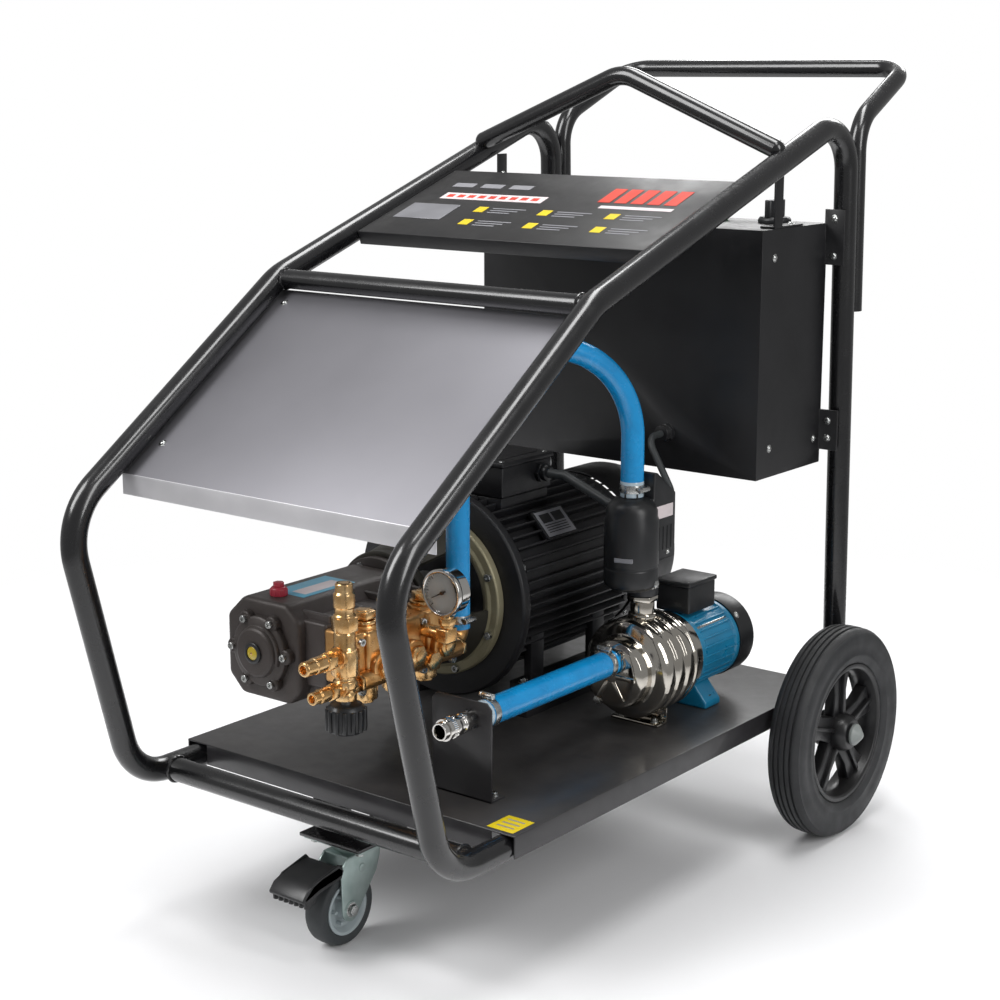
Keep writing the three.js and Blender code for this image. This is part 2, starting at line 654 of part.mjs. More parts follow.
function buttonSolid(at, head) {
  return joined(
    rod('z', BUTTON_R - 3, BOX_HIGH - 10, BOX_HIGH + 6, [at.x, at.y]),
    rod('z', BUTTON_R, BOX_HIGH + 5, BOX_HIGH + 5 + head, [at.x, at.y]),
  );
}
add('start_button', buttonSolid(START, 6), 'green');
add('stop_button', buttonSolid(STOP, 10), 'red');
add('main_switch_knob', joined(
  rod('z', 24, BOX_HIGH + GAP, BOX_HIGH + 9, [SWITCH.x, SWITCH.y]),
  box(SWITCH.x - 6, SWITCH.x + 6, SWITCH.y - 23, SWITCH.y + 23, BOX_HIGH + 8, BOX_HIGH + 34),
), 'blackPlastic');

// ------------------------------------------------------------------ motor

/** A round-bodied outline with straight fins all round, as [x, z] points. */
function finOutline(cx, cz, root, tip, count) {
  const pitch = (2 * Math.PI) / count;
  return Array.from({ length: count }, (_, k) => [
    [root, -0.22], [tip, -0.13], [tip, 0.13], [root, 0.22],
  ].map(([r, share]) => {
    const angle = pitch * (k + share);
    return [cx + r * Math.cos(angle), cz + r * Math.sin(angle)];
  })).flat();
}

const boreOutline = (cx, cz, r, n) => arc(cx, cz, r, 0, 360 - 360 / n, n - 1);

const TERMINAL_PAD_Z = DRIVE_Z + MOTOR_R;
function motorHousing() {
  const barrel = slab(
    finOutline(DRIVE_X, DRIVE_Z, MOTOR_ROOT_R, MOTOR_R, FIN_COUNT),
    MOTOR_FRONT,
    MOTOR_REAR,
    [boreOutline(DRIVE_X, DRIVE_Z, MOTOR_BORE, 28)],
  );
  const footLow = TRAY_TOP + MOTOR_RAIL_H + GAP;
  const foot = (x) => joined(
    box(x - 22, x + 22, -455, -245, footLow, footLow + 14),
    box(x - 7, x + 7, -440, -410, footLow, DRIVE_Z - 72),
    box(x - 7, x + 7, -290, -260, footLow, DRIVE_Z - 72),
  );
  const pad = box(DRIVE_X - 52, DRIVE_X + 52, -440, -330, DRIVE_Z + 100, TERMINAL_PAD_Z);
  return joined(barrel, foot(DRIVE_X - 100), foot(DRIVE_X + 100), pad);
}
add('motor_housing', motorHousing(), 'motorBlack');

const drive = (profile, segments = 28) => turned('y', profile, DRIVE_X, 0, DRIVE_Z, segments);
const shaftBore = SHAFT_R + RUNNING;
add('motor_flange', drive([
  [shaftBore, MOTOR_FACE], [FLANGE_R, MOTOR_FACE], [FLANGE_R, MOTOR_FACE + 18],
  [MOTOR_ROOT_R + 7, MOTOR_FACE + 24], [MOTOR_ROOT_R + 7, MOTOR_FRONT - GAP],
  [MOTOR_BORE + 8, MOTOR_FRONT - GAP], [MOTOR_BORE + 8, MOTOR_FACE + 26], [shaftBore, MOTOR_FACE + 26],
]), 'motorBlack');
add('motor_rear_shield', drive([
  [shaftBore, MOTOR_REAR + 12], [MOTOR_BORE + 8, MOTOR_REAR + 12], [MOTOR_BORE + 8, MOTOR_REAR + GAP],
  [MOTOR_ROOT_R + 5, MOTOR_REAR + GAP], [MOTOR_ROOT_R + 5, SHIELD_REAR], [shaftBore, SHIELD_REAR],
]), 'motorBlack');
add('fan_cowl', drive([
  [MOTOR_R - 8, SHIELD_REAR + GAP], [MOTOR_R - 6, SHIELD_REAR + GAP], [MOTOR_R - 6, COWL_REAR + 14],
  [MOTOR_R - 20, COWL_REAR], [46, COWL_REAR], [46, COWL_REAR + 2], [MOTOR_R - 21, COWL_REAR + 2],
  [MOTOR_R - 8, COWL_REAR + 14],
]), 'motorBlack');
add('motor_rotor', drive([
  [0, -572], [SHAFT_R, -572], [SHAFT_R, -440], [MOTOR_BORE - 2, -440], [MOTOR_BORE - 2, -250],
  [SHAFT_R, -250], [SHAFT_R, -128], [0, -128],
], 28), 'steel');

function coolingFan() {
  const hub = turned('y', [
    [shaftBore, -176], [34, -176], [34, -136], [shaftBore, -136],
  ], DRIVE_X, 0, DRIVE_Z);
  const disc = turned('y', [
    [33, -176], [104, -176], [104, -173], [33, -173],
  ], DRIVE_X, 0, DRIVE_Z);
  const blades = Array.from({ length: 8 }, (_, k) => {
    const blade = new THREE.BoxGeometry(72, 34, 3).translate(67, -157, 0);
    return solid(blade.rotateY((Math.PI * k) / 4).translate(DRIVE_X, 0, DRIVE_Z));
  });
  return joined(hub, disc, ...blades);
}
add('motor_fan', coolingFan(), 'blackPlastic');

const TERMINAL = { x0: DRIVE_X - 55, x1: DRIVE_X + 55, y0: -442, y1: -326, z1: TERMINAL_PAD_Z + 54 };
const TERMINAL_GLAND = { y: -352, z: TERMINAL_PAD_Z + 26 };
add('terminal_box', joined(
  box(TERMINAL.x0, TERMINAL.x1, TERMINAL.y0, TERMINAL.y1, TERMINAL_PAD_Z + GAP, TERMINAL.z1 - 8),
  box(TERMINAL.x0 - 3, TERMINAL.x1 + 3, TERMINAL.y0 - 3, TERMINAL.y1 + 3, TERMINAL.z1 - 9, TERMINAL.z1),
  rod('x', CABLE_R + 5, TERMINAL.x1 - 1, TERMINAL.x1 + 16, [TERMINAL_GLAND.y, TERMINAL_GLAND.z], 16),
), 'motorBlack');

// ------------------------------------------------------------------ bell housing and coupling

function bellHousing() {
  const front = MOTOR_FACE - GAP;
  const rear = PUMP_REAR + GAP;
  const shell = drive([
    [BELL_R - 28, front], [BELL_R, front], [BELL_R, front - 14], [BELL_R - 16, front - 18],
    [82, rear + 18],
    [82, rear], [42, rear], [42, rear + 12], [68, rear + 18],
  ]);
  const windows = [0, 1, 2].map((k) => {
    const opening = new THREE.BoxGeometry(130, 62, 62).translate(88, -575, 0);
    return solid(opening.rotateY(degrees(25 + 120 * k)).translate(DRIVE_X, 0, DRIVE_Z));
  });
  return cut(shell, ...windows);
}
add('bell_housing', bellHousing(), 'castOlive');
add('shaft_coupling', drive([
  [shaftBore, -542], [38, -542], [38, -574], [34, -575], [34, -577], [38, -578], [38, -610],
  [CRANK_R + GAP, -610], [CRANK_R + GAP, -575], [shaftBore, -575],
]), 'steel');

// ------------------------------------------------------------------ plunger pump

function crankcase() {
  const cx = DRIVE_X;
  const cz = DRIVE_Z;
  const outline = [
    [cx - 66, cz - 42], [cx - 42, cz - 66], [cx + 44, cz - 66], [cx + 62, cz - 48],
    [cx + 62, cz + 46], [cx + 40, cz + 66], [cx - 36, cz + 66], [cx - 66, cz + 38],
  ];
  const body = slab(outline, PUMP_FRONT, PUMP_REAR, [boreOutline(cx, cz, CRANK_BORE, 24)]);
  const neck = box(cx + 50, HEAD_LOW_X, HEAD_FRONT + 6, HEAD_REAR - 4, cz - 38, cz + 48);
  const ribs = [0, 1, 2, 3].map((k) => {
    const y = HEAD_FRONT + 14 + k * 58;
    return box(cx + 40, HEAD_LOW_X - 2, y, y + 8, cz - 52, cz + 57);
  });
  const rearWall = drive([
    [CRANK_R + RUNNING, PUMP_REAR], [CRANK_BORE + 2, PUMP_REAR], [CRANK_BORE + 2, PUMP_REAR - 14],
    [CRANK_R + RUNNING, PUMP_REAR - 14],
  ]);
  const flange = drive([
    [CRANK_BORE, PUMP_REAR - 12], [78, PUMP_REAR - 12], [78, PUMP_REAR], [CRANK_BORE, PUMP_REAR],
  ]);
  return joined(body, cut(neck, rod('y', CRANK_BORE, -880, -650, [cx, cz])), ...ribs, rearWall, flange);
}
add('pump_crankcase', crankcase(), 'castGrey');

function endCover() {
  const face = PUMP_FRONT - GAP;
  const disc = drive([
    [0, face], [46, face], [46, face - 9], [33, face - 12], [31, face - 18], [0, face - 18],
  ]);
  const lugs = Array.from({ length: 6 }, (_, k) => {
    const angle = degrees(60 * k);
    const at = [DRIVE_X + 46 * Math.cos(angle), DRIVE_Z + 46 * Math.sin(angle)];
    return rod('y', 10, face - 10, face, at, 16);
  });
  return joined(disc, ...lugs);
}
add('pump_end_cover', endCover(), 'castGrey');
const GLASS_FACE = PUMP_FRONT - 22;
const GLASS_SEAT = PUMP_FRONT - 18 - 2 * GAP;
add('oil_sight_glass', rod('y', 9, GLASS_FACE, GLASS_SEAT, [DRIVE_X, DRIVE_Z]), 'yellow');
add('oil_filler_cap', joined(
  rod('z', 11, DRIVE_Z + 66 + GAP, DRIVE_Z + 78, [DRIVE_X, -838]),
  prism('z', 8, DRIVE_Z + 77, DRIVE_Z + 83, [DRIVE_X, -838], 6),
), 'red');

function crankshaft() {
  const shaft = rod('y', CRANK_R, -860, -577, [DRIVE_X, DRIVE_Z]);
  const throws = PLUNGER_YS.map((y, k) => {
    const angle = degrees(120 * k);
    const at = [DRIVE_X + 8 * Math.cos(angle), DRIVE_Z + 8 * Math.sin(angle)];
    return rod('y', 23, y - 13, y + 13, at);
  });
  return joined(shaft, ...throws);
}
add('crankshaft', crankshaft(), 'steel');

// ------------------------------------------------------------------ brass head

const elbowTop = HEAD_INLET_Z + ELBOW_R;
function pumpHead() {
  const block = box(HEAD_LOW_X + GAP, HEAD_HIGH_X, HEAD_FRONT, HEAD_REAR, HEAD_LOW_Z + 8, HEAD_HIGH_Z - 10);
  const valves = PLUNGER_YS.flatMap((y) => [
    rod('z', 21, HEAD_HIGH_Z - 12, HEAD_HIGH_Z, [40, y]),
    prism('z', 15, HEAD_HIGH_Z - 1, HEAD_HIGH_Z + 10, [40, y], 6),
    rod('x', 20, HEAD_HIGH_X - 2, HEAD_HIGH_X + 9, [y, DRIVE_Z - 2]),
    prism('x', 14, HEAD_HIGH_X + 8, HEAD_HIGH_X + 17, [y, DRIVE_Z - 2], 6),
    rod('z', 17, HEAD_LOW_Z - VALVE_FOOT, HEAD_LOW_Z + 10, [40, y]),
  ]);
  const grooves = [-791, -733].map((y) => box(
    HEAD_HIGH_X - 10, HEAD_HIGH_X + 10, y - 4, y + 4, HEAD_LOW_Z - 5, HEAD_HIGH_Z + 5,
  ));
  const gaugePort = [
    rod('x', 9, HEAD_HIGH_X - 14, GAUGE_X, [GAUGE_FACE_Y + 14, DRIVE_Z + 24], 16),
    rod('z', 9, DRIVE_Z + 15, GAUGE_Z - GAUGE_R - 1, [GAUGE_X, GAUGE_FACE_Y + 14], 16),
  ];
  const inlet = [
    rod('y', ELBOW_R, HEAD_REAR - 4, HEAD_INLET_Y, [HEAD_INLET_X, HEAD_INLET_Z]),
    rod('z', ELBOW_R, HEAD_INLET_Z - ELBOW_R, elbowTop, [HEAD_INLET_X, HEAD_INLET_Y]),
    rod('z', BARB_R, elbowTop - 2, HEAD_INLET_TOP, [HEAD_INLET_X, HEAD_INLET_Y]),
  ];
  return joined(cut(block, ...grooves), ...valves, ...gaugePort, ...inlet);
}
add('pump_head', pumpHead(), 'brass');

const COLUMN_LOW = DRIVE_Z - 29;
const COLUMN_TOP = COLUMN_LOW + 148;
function unloader() {
  const at = [UNLOADER_X, UNLOADER_Y];
  return cut(joined(
    rod('z', 14, COLUMN_LOW, COLUMN_TOP - 14, at),
    prism('z', 17, DRIVE_Z + 58, DRIVE_Z + 78, at, 6),
    rod('z', 11, COLUMN_TOP - 14, COLUMN_TOP, at, 20),
    prism('z', 18, DRIVE_Z + 2, DRIVE_Z + 40, at, 8),
    rod('y', 12, UNLOADER_Y, HEAD_FRONT - GAP, [UNLOADER_X - 8, DRIVE_Z + 22], 20),
    rod('y', 9.5, UNLOADER_Y - 74, UNLOADER_Y, [UNLOADER_X, DRIVE_Z + 26], 20),
    prism('y', 12, UNLOADER_Y - 40, UNLOADER_Y - 24, [UNLOADER_X, DRIVE_Z + 26], 6),
    rod('y', 8.5, UNLOADER_Y - 60, UNLOADER_Y, [UNLOADER_X, DRIVE_Z - 14], 20),
  ), rod('z', 6 + RUNNING, COLUMN_LOW - 5, COLUMN_LOW + 24, at));
}
add('unloader_valve', unloader(), 'brass');

function knob() {
  const top = COLUMN_LOW - 6;
  const grips = Array.from({ length: 10 }, (_, k) => {
    const angle = degrees(36 * k);
    const at = [UNLOADER_X + 23 * Math.cos(angle), UNLOADER_Y + 23 * Math.sin(angle)];
    return rod('z', 4, top - 34, top, at, 10);
  });
  return joined(
    rod('z', 24, top - 36, top, [UNLOADER_X, UNLOADER_Y], 20),
    rod('z', 6, top - 1, COLUMN_LOW + 18, [UNLOADER_X, UNLOADER_Y]),
    ...grips,
  );
}
add('unloader_knob', knob(), 'blackPlastic');

function gaugeCase() {
  const back = GAUGE_DEPTH;
  return turned('y', [
    [0, 6], [GAUGE_R - 4, 6], [GAUGE_R - 3, 0], [GAUGE_R, 0], [GAUGE_R, 5], [GAUGE_R - 2, 8],
    [GAUGE_R - 2, back - 3], [GAUGE_R - 5, back], [0, back],
  ], GAUGE_X, GAUGE_FACE_Y, GAUGE_Z, 28);
}
add('gauge_case', gaugeCase(), 'chrome');
function needle() {
  const y = GAUGE_FACE_Y;
  const pointer = new THREE.BoxGeometry(1.6, 1.2, 26).translate(0, 0, 7).rotateY(degrees(-118));
  return joined(
    solid(pointer.translate(GAUGE_X, y + 3.6, GAUGE_Z)),
    rod('y', 2.6, y + 2.4, y + 6 - GAP, [GAUGE_X, GAUGE_Z], 16),
  );
}
add('gauge_needle', needle(), 'blackPlastic');

// ------------------------------------------------------------------ water line

add('inlet_coupling', joined(
  turned('y', [
    [9, -60], [11.5, -60], [11.5, -22], [13, -20], [13, -GAP], [9, -GAP],
  ], LINE_X, PLATE_Y, LINE_Z, 24),
  turned('y', [
    [9, -2], [11, -2], [11, 18], [BARB_R, 18], [BARB_R, 38], [9, 38],
  ], LINE_X, PLATE_Y, LINE_Z, 24),
), 'chrome');
add('coupling_sleeve', turned('y', [
  [11.5 + RUNNING, -52], [14.5, -52], [14.5, -47], [13.5, -46], [13.5, -38], [14.5, -37],
  [14.5, -30], [11.5 + RUNNING, -30],
], LINE_X, PLATE_Y, LINE_Z, 24), 'chrome');

const HOSE_SIDES = 12;
const hoseBore = (BARB_R + GAP) / Math.cos(Math.PI / HOSE_SIDES);
add('suction_hose', swept(new BentRoute([
  [LINE_X, PLATE_Y + 20, LINE_Z], [LINE_X, BOOSTER_NECK + 17, LINE_Z],
], []), HOSE_R, hoseBore, HOSE_SIDES, HOSE_SIDES), 'hoseBlue');

const archReach = Math.hypot(LINE_X - HEAD_INLET_X, CONTROLLER_Y - HEAD_INLET_Y) / 2;
const HOSE_SPRING_Z = CONTROLLER_TOP + 83;
const hoseTop = HOSE_SPRING_Z + archReach;
add('feed_hose', swept(new BentRoute([
  [LINE_X, CONTROLLER_Y, CONTROLLER_TOP + 1],
  [LINE_X, CONTROLLER_Y, hoseTop],
  [HEAD_INLET_X, HEAD_INLET_Y, hoseTop],
  [HEAD_INLET_X, HEAD_INLET_Y, elbowTop + GAP],
], [archReach - 0.01, archReach - 0.01], 8), FEED_R, hoseBore, HOSE_SIDES, HOSE_SIDES), 'hoseBlue');

// ------------------------------------------------------------------ booster pump

const booster = (profile, segments = 24) => turned('y', profile, LINE_X, 0, BOOSTER_Z, segments);
const BOOSTER_SHAFT_R = 8;
function boosterBody() {
  const neck = BOOSTER_NECK;
  const front = BOOSTER_BODY_FRONT;
  const rear = BOOSTER_BODY_REAR;
  const shell = booster([
    [0, neck + 18], [45, neck + 18], [49, neck + 24],
    [49, front], [66, front], [BOOSTER_R, front + 8], [BOOSTER_R, rear - 6], [62, rear],
    [62, BOOSTER_MOTOR_FRONT], [20, BOOSTER_MOTOR_FRONT], [20, BOOSTER_MOTOR_FRONT - 12],
    [60, BOOSTER_MOTOR_FRONT - 12], [60, front + 8], [42, front + 8], [42, neck + 24], [0, neck + 24],
  ]);
  const inlet = rod('y', BARB_R, neck, neck + 20, [LINE_X, LINE_Z], 24);
  const inletBore = rod('y', 9, neck - 5, neck + 30, [LINE_X, LINE_Z], 24);
  const outlet = rod('z', 17, BOOSTER_Z + 66, CONTROLLER_LOW - GAP, [LINE_X, CONTROLLER_Y + 30], 20);
  const bore = rod('z', 11, BOOSTER_Z + 40, CONTROLLER_LOW + 5, [LINE_X, CONTROLLER_Y + 30], 20);
  const bracket = joined(
    box(LINE_X - 40, LINE_X + 40, rear - 40, rear - 34, TRAY_TOP + GAP, BOOSTER_Z - 65),
    box(LINE_X - 40, LINE_X + 40, rear - 60, rear - 34, TRAY_TOP + GAP, TRAY_TOP + 4),
  );
  return cut(joined(shell, inlet, outlet, bracket), inletBore, bore);
}
add('booster_body', boosterBody(), 'polished');

function boosterMotor() {
  const shell = booster([
    [BOOSTER_SHAFT_R + RUNNING, BOOSTER_MOTOR_FRONT + GAP],
    [BOOSTER_MOTOR_R, BOOSTER_MOTOR_FRONT + GAP],
    [BOOSTER_MOTOR_R, BOOSTER_MOTOR_REAR],
    [BOOSTER_SHAFT_R + RUNNING, BOOSTER_MOTOR_REAR],
    [BOOSTER_SHAFT_R + RUNNING, BOOSTER_MOTOR_REAR - 8],
    [36, BOOSTER_MOTOR_REAR - 8],
    [36, BOOSTER_MOTOR_FRONT + 9],
    [BOOSTER_SHAFT_R + RUNNING, BOOSTER_MOTOR_FRONT + 9],
  ]);
  const stem = slab([
    [LINE_X - 50, TRAY_TOP + GAP], [LINE_X + 50, TRAY_TOP + GAP], [LINE_X + 50, TRAY_TOP + 9],
    [LINE_X + 26, BOOSTER_Z - 46], [LINE_X - 26, BOOSTER_Z - 46], [LINE_X - 50, TRAY_TOP + 9],
  ], -282, -242);
  return joined(shell, stem);
}
add('booster_motor', boosterMotor(), 'motorBlue');
add('booster_fan_cover', booster([
  [BOOSTER_MOTOR_R - 1, BOOSTER_MOTOR_REAR + GAP], [BOOSTER_MOTOR_R + 1.5, BOOSTER_MOTOR_REAR + GAP],
  [BOOSTER_MOTOR_R + 1.5, BOOSTER_MOTOR_REAR + 36], [BOOSTER_MOTOR_R - 8, BOOSTER_MOTOR_REAR + 44],
  [22, BOOSTER_MOTOR_REAR + 44], [22, BOOSTER_MOTOR_REAR + 42],
  [BOOSTER_MOTOR_R - 9, BOOSTER_MOTOR_REAR + 42], [BOOSTER_MOTOR_R - 1, BOOSTER_MOTOR_REAR + 35],
]), 'blackPlastic');
add('booster_rotor', booster([
  [0, -404], [14, -404], [16, -398], [50, -398], [50, -384], [BOOSTER_SHAFT_R, -384],
  [BOOSTER_SHAFT_R, -296], [33, -296], [33, -218], [BOOSTER_SHAFT_R, -218], [BOOSTER_SHAFT_R, -192],
  [46, -192], [46, -180], [0, -180],
], 24), 'steel');
const BOOSTER_LID_Z = BOOSTER_Z + BOOSTER_MOTOR_R + GAP;
add('booster_terminal_box', joined(
  box(LINE_X - 26, LINE_X + 30, -302, -232, BOOSTER_LID_Z, BOOSTER_LID_Z + 40),
  box(LINE_X - 28, LINE_X + 32, -304, -230, BOOSTER_LID_Z + 39, BOOSTER_LID_Z + 46),
), 'blackPlastic');

const CONTROLLER_GLAND_Z = CONTROLLER_TOP - 25;
const CONTROLLER_BACK = CONTROLLER_Y + 74;
const CONTROLLER_SIDE = LINE_X - 24;
const SIDE_GLAND = { y: CONTROLLER_Y + 44, z: CONTROLLER_TOP - 30 };
function controller() {
  const at = [LINE_X, CONTROLLER_Y];
  const low = CONTROLLER_LOW;
  return joined(
    rod('z', 22, low, low + 20, [LINE_X, CONTROLLER_Y + 30], 24),
    rod('z', CONTROLLER_R, low + 18, CONTROLLER_TOP - 8, at, 24),
    rod('z', CONTROLLER_R - 6, CONTROLLER_TOP - 9, CONTROLLER_TOP, at, 24),
    rod('z', BARB_R, CONTROLLER_TOP - 1, CONTROLLER_TOP + 30, at, 20),
    sidePlate([
      [CONTROLLER_Y, low + 50], [CONTROLLER_BACK, low + 50], [CONTROLLER_BACK, CONTROLLER_TOP - 2],
      [CONTROLLER_Y + 28, CONTROLLER_TOP + 32], [CONTROLLER_Y + 20, CONTROLLER_TOP + 32],
      [CONTROLLER_Y + 20, CONTROLLER_TOP - 6], [CONTROLLER_Y, CONTROLLER_TOP - 6],
    ], CONTROLLER_SIDE, LINE_X + 24),
    rod('y', CABLE_R + 4, CONTROLLER_BACK - 4, CONTROLLER_BACK + 12, [LINE_X - 8, CONTROLLER_GLAND_Z], 16),
    rod('x', CABLE_R + 4, CONTROLLER_SIDE - 14, CONTROLLER_SIDE + 4, [SIDE_GLAND.y, SIDE_GLAND.z], 16),
  );
}
add('pump_controller', controller(), 'blackPlastic');

// ------------------------------------------------------------------ cables inside the machine

const cableEnd = BOX_FRONT - 18 - GAP;
add('motor_cable', swept(new BentRoute([
  [TERMINAL.x1 + 16 + GAP, TERMINAL_GLAND.y, TERMINAL_GLAND.z],
  [TERMINAL.x1 + 46, TERMINAL_GLAND.y, TERMINAL_GLAND.z],
  [CONTROLLER_SIDE - 36, SIDE_GLAND.y, SIDE_GLAND.z],
  [CONTROLLER_SIDE - 14 - GAP, SIDE_GLAND.y, SIDE_GLAND.z],
], [24, 24], 5), CABLE_R, 0, 10), 'rubber');
add('controller_cable', swept(new BentRoute([
  [LINE_X - 8, CONTROLLER_BACK + 12 + GAP, CONTROLLER_GLAND_Z],
  [LINE_X - 8, CONTROLLER_BACK + 46, CONTROLLER_GLAND_Z],
  [CONTROLLER_CABLE_X, CONTROLLER_BACK + 60, CONTROLLER_CABLE_Z],
  [CONTROLLER_CABLE_X, cableEnd, CONTROLLER_CABLE_Z],
], [24, 24], 5), CABLE_R - 2, 0, 8), 'rubber');

// The origin is on the floor under the middle of the machine.
const extent = new THREE.Box3().setFromObject(washer);
washer.position.y = -(extent.min.y + extent.max.y) / 2;

export default washer;
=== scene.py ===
"""Looks of a three-wheeled electric pressure washer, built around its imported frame.

Lengths are millimetres. The axes stand on the floor: x to the right of the machine, y towards the push
handle from the rear legs of the frame, z up. Form.piece() turns them into the frame's metres.
"""
import logging
import math
from dataclasses import dataclass
from enum import Enum
from typing import Iterable, Sequence

import bmesh
import bpy
from mathutils import Matrix, Vector


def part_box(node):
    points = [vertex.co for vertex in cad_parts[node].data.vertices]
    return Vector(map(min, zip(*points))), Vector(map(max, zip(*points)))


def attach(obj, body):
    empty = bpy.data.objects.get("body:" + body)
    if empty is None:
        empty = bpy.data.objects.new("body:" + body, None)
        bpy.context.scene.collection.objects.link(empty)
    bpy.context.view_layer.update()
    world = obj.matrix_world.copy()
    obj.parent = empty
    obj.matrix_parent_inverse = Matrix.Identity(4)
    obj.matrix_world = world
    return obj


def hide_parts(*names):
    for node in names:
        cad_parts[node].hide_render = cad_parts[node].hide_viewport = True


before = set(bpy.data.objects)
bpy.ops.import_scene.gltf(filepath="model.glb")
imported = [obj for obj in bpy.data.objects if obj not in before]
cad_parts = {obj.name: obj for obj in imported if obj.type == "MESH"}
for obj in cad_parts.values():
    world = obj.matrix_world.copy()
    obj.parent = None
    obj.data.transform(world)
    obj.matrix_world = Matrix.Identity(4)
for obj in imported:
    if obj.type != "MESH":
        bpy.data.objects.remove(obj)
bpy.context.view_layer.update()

log = logging.getLogger("pressure_washer")

TUBE_R = 16.85
MOTOR_FEET_X = 100.0  # the motor's feet and their rails stand this far each side of the drive axis
LEG_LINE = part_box("right_side_hoop")[1].y * 1000 - TUBE_R
TO_FRAME = Matrix.Scale(0.001, 4) @ Matrix.Translation((0, LEG_LINE, 0))

UP, DOWN = Vector((0, 0, 1)), Vector((0, 0, -1))
RIGHT, LEFT = Vector((1, 0, 0)), Vector((-1, 0, 0))
BACK, FRONT = Vector((0, 1, 0)), Vector((0, -1, 0))
Point = Sequence[float]


# ---------------------------------------------------------------- measuring helpers


@dataclass(frozen=True)
class Span:
    """Where a node of the frame lies, in millimetres."""

    low: Vector
    high: Vector

    @classmethod
    def of(cls, node: str) -> "Span":
        """Measures a node of the frame.

        Args:
            node: The node's name.

        Returns:
            Its box, in millimetres from the rear legs and the floor.
        """
        low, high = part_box(node)
        to_mm = TO_FRAME.inverted()
        return cls(to_mm @ low, to_mm @ high)

    @property
    def centre(self) -> Vector:
        """The middle of the box.

        Returns:
            The point, in millimetres.
        """
        return (self.low + self.high) / 2


def aim(at: Point, toward: Vector) -> Matrix:
    """Stands local +Z along a direction.

    Args:
        at: Where the local origin goes.
        toward: The direction of local +Z.

    Returns:
        The matrix that does it.
    """
    turn = UP.rotation_difference(Vector(toward)).to_matrix().to_4x4()
    return Matrix.Translation(Vector(at)) @ turn


def arc(a: float, b: float, radius: float, start: float, end: float, steps: int) -> list[tuple[float, float]]:
    """Points of an arc in a plane.

    Args:
        a: First coordinate of the centre.
        b: Second coordinate of the centre.
        radius: Radius of the arc.
        start: First angle, in degrees.
        end: Last angle, in degrees.
        steps: How many chords it has.

    Returns:
        The points, as pairs.
    """
    turns = [math.radians(start + (end - start) * k / steps) for k in range(steps + 1)]
    return [(a + radius * math.cos(t), b + radius * math.sin(t)) for t in turns]


def around(centre: Point, radius: float, count: int, axis: str = "y", first: float = 0.0) -> list[Vector]:
    """Points spread evenly round a circle.

    Args:
        centre: The middle of the circle.
        radius: Its radius.
        count: How many points.
        axis: The axis that the circle stands square to.
        first: Angle of the first point, in degrees.

    Returns:
        The points.
    """
    sides = {"x": (BACK, UP), "y": (RIGHT, UP), "z": (RIGHT, BACK)}[axis]
    turns = [math.radians(first + 360 * k / count) for k in range(count)]
    return [Vector(centre) + radius * (sides[0] * math.cos(t) + sides[1] * math.sin(t)) for t in turns]


# ---------------------------------------------------------------- finishes


class Texture(Enum):
    """How the surface of a finish is made: bumps per metre and their height in millimetres."""

    POWDER_COAT = (420.0, 0.05)
    CAST = (650.0, 0.35)
    FORGED = (900.0, 0.16)
    MACHINED = (300.0, 0.02)
    MOULDED = (1500.0, 0.05)
    RUBBER = (800.0, 0.12)
    PRINTED = (900.0, 0.01)


def linear(code: str) -> tuple[float, float, float, float]:
    """Turns a #rrggbb colour into linear red, green, blue and alpha.

    Args:
        code: The colour as #rrggbb.

    Returns:
        Its linear values, with an alpha of 1.
    """
    parts = [int(code[i:i + 2], 16) / 255 for i in (1, 3, 5)]
    low, high = 0.04045, 1.055
    return (*[p / 12.92 if p <= low else ((p + 0.055) / high) ** 2.4 for p in parts], 1.0)


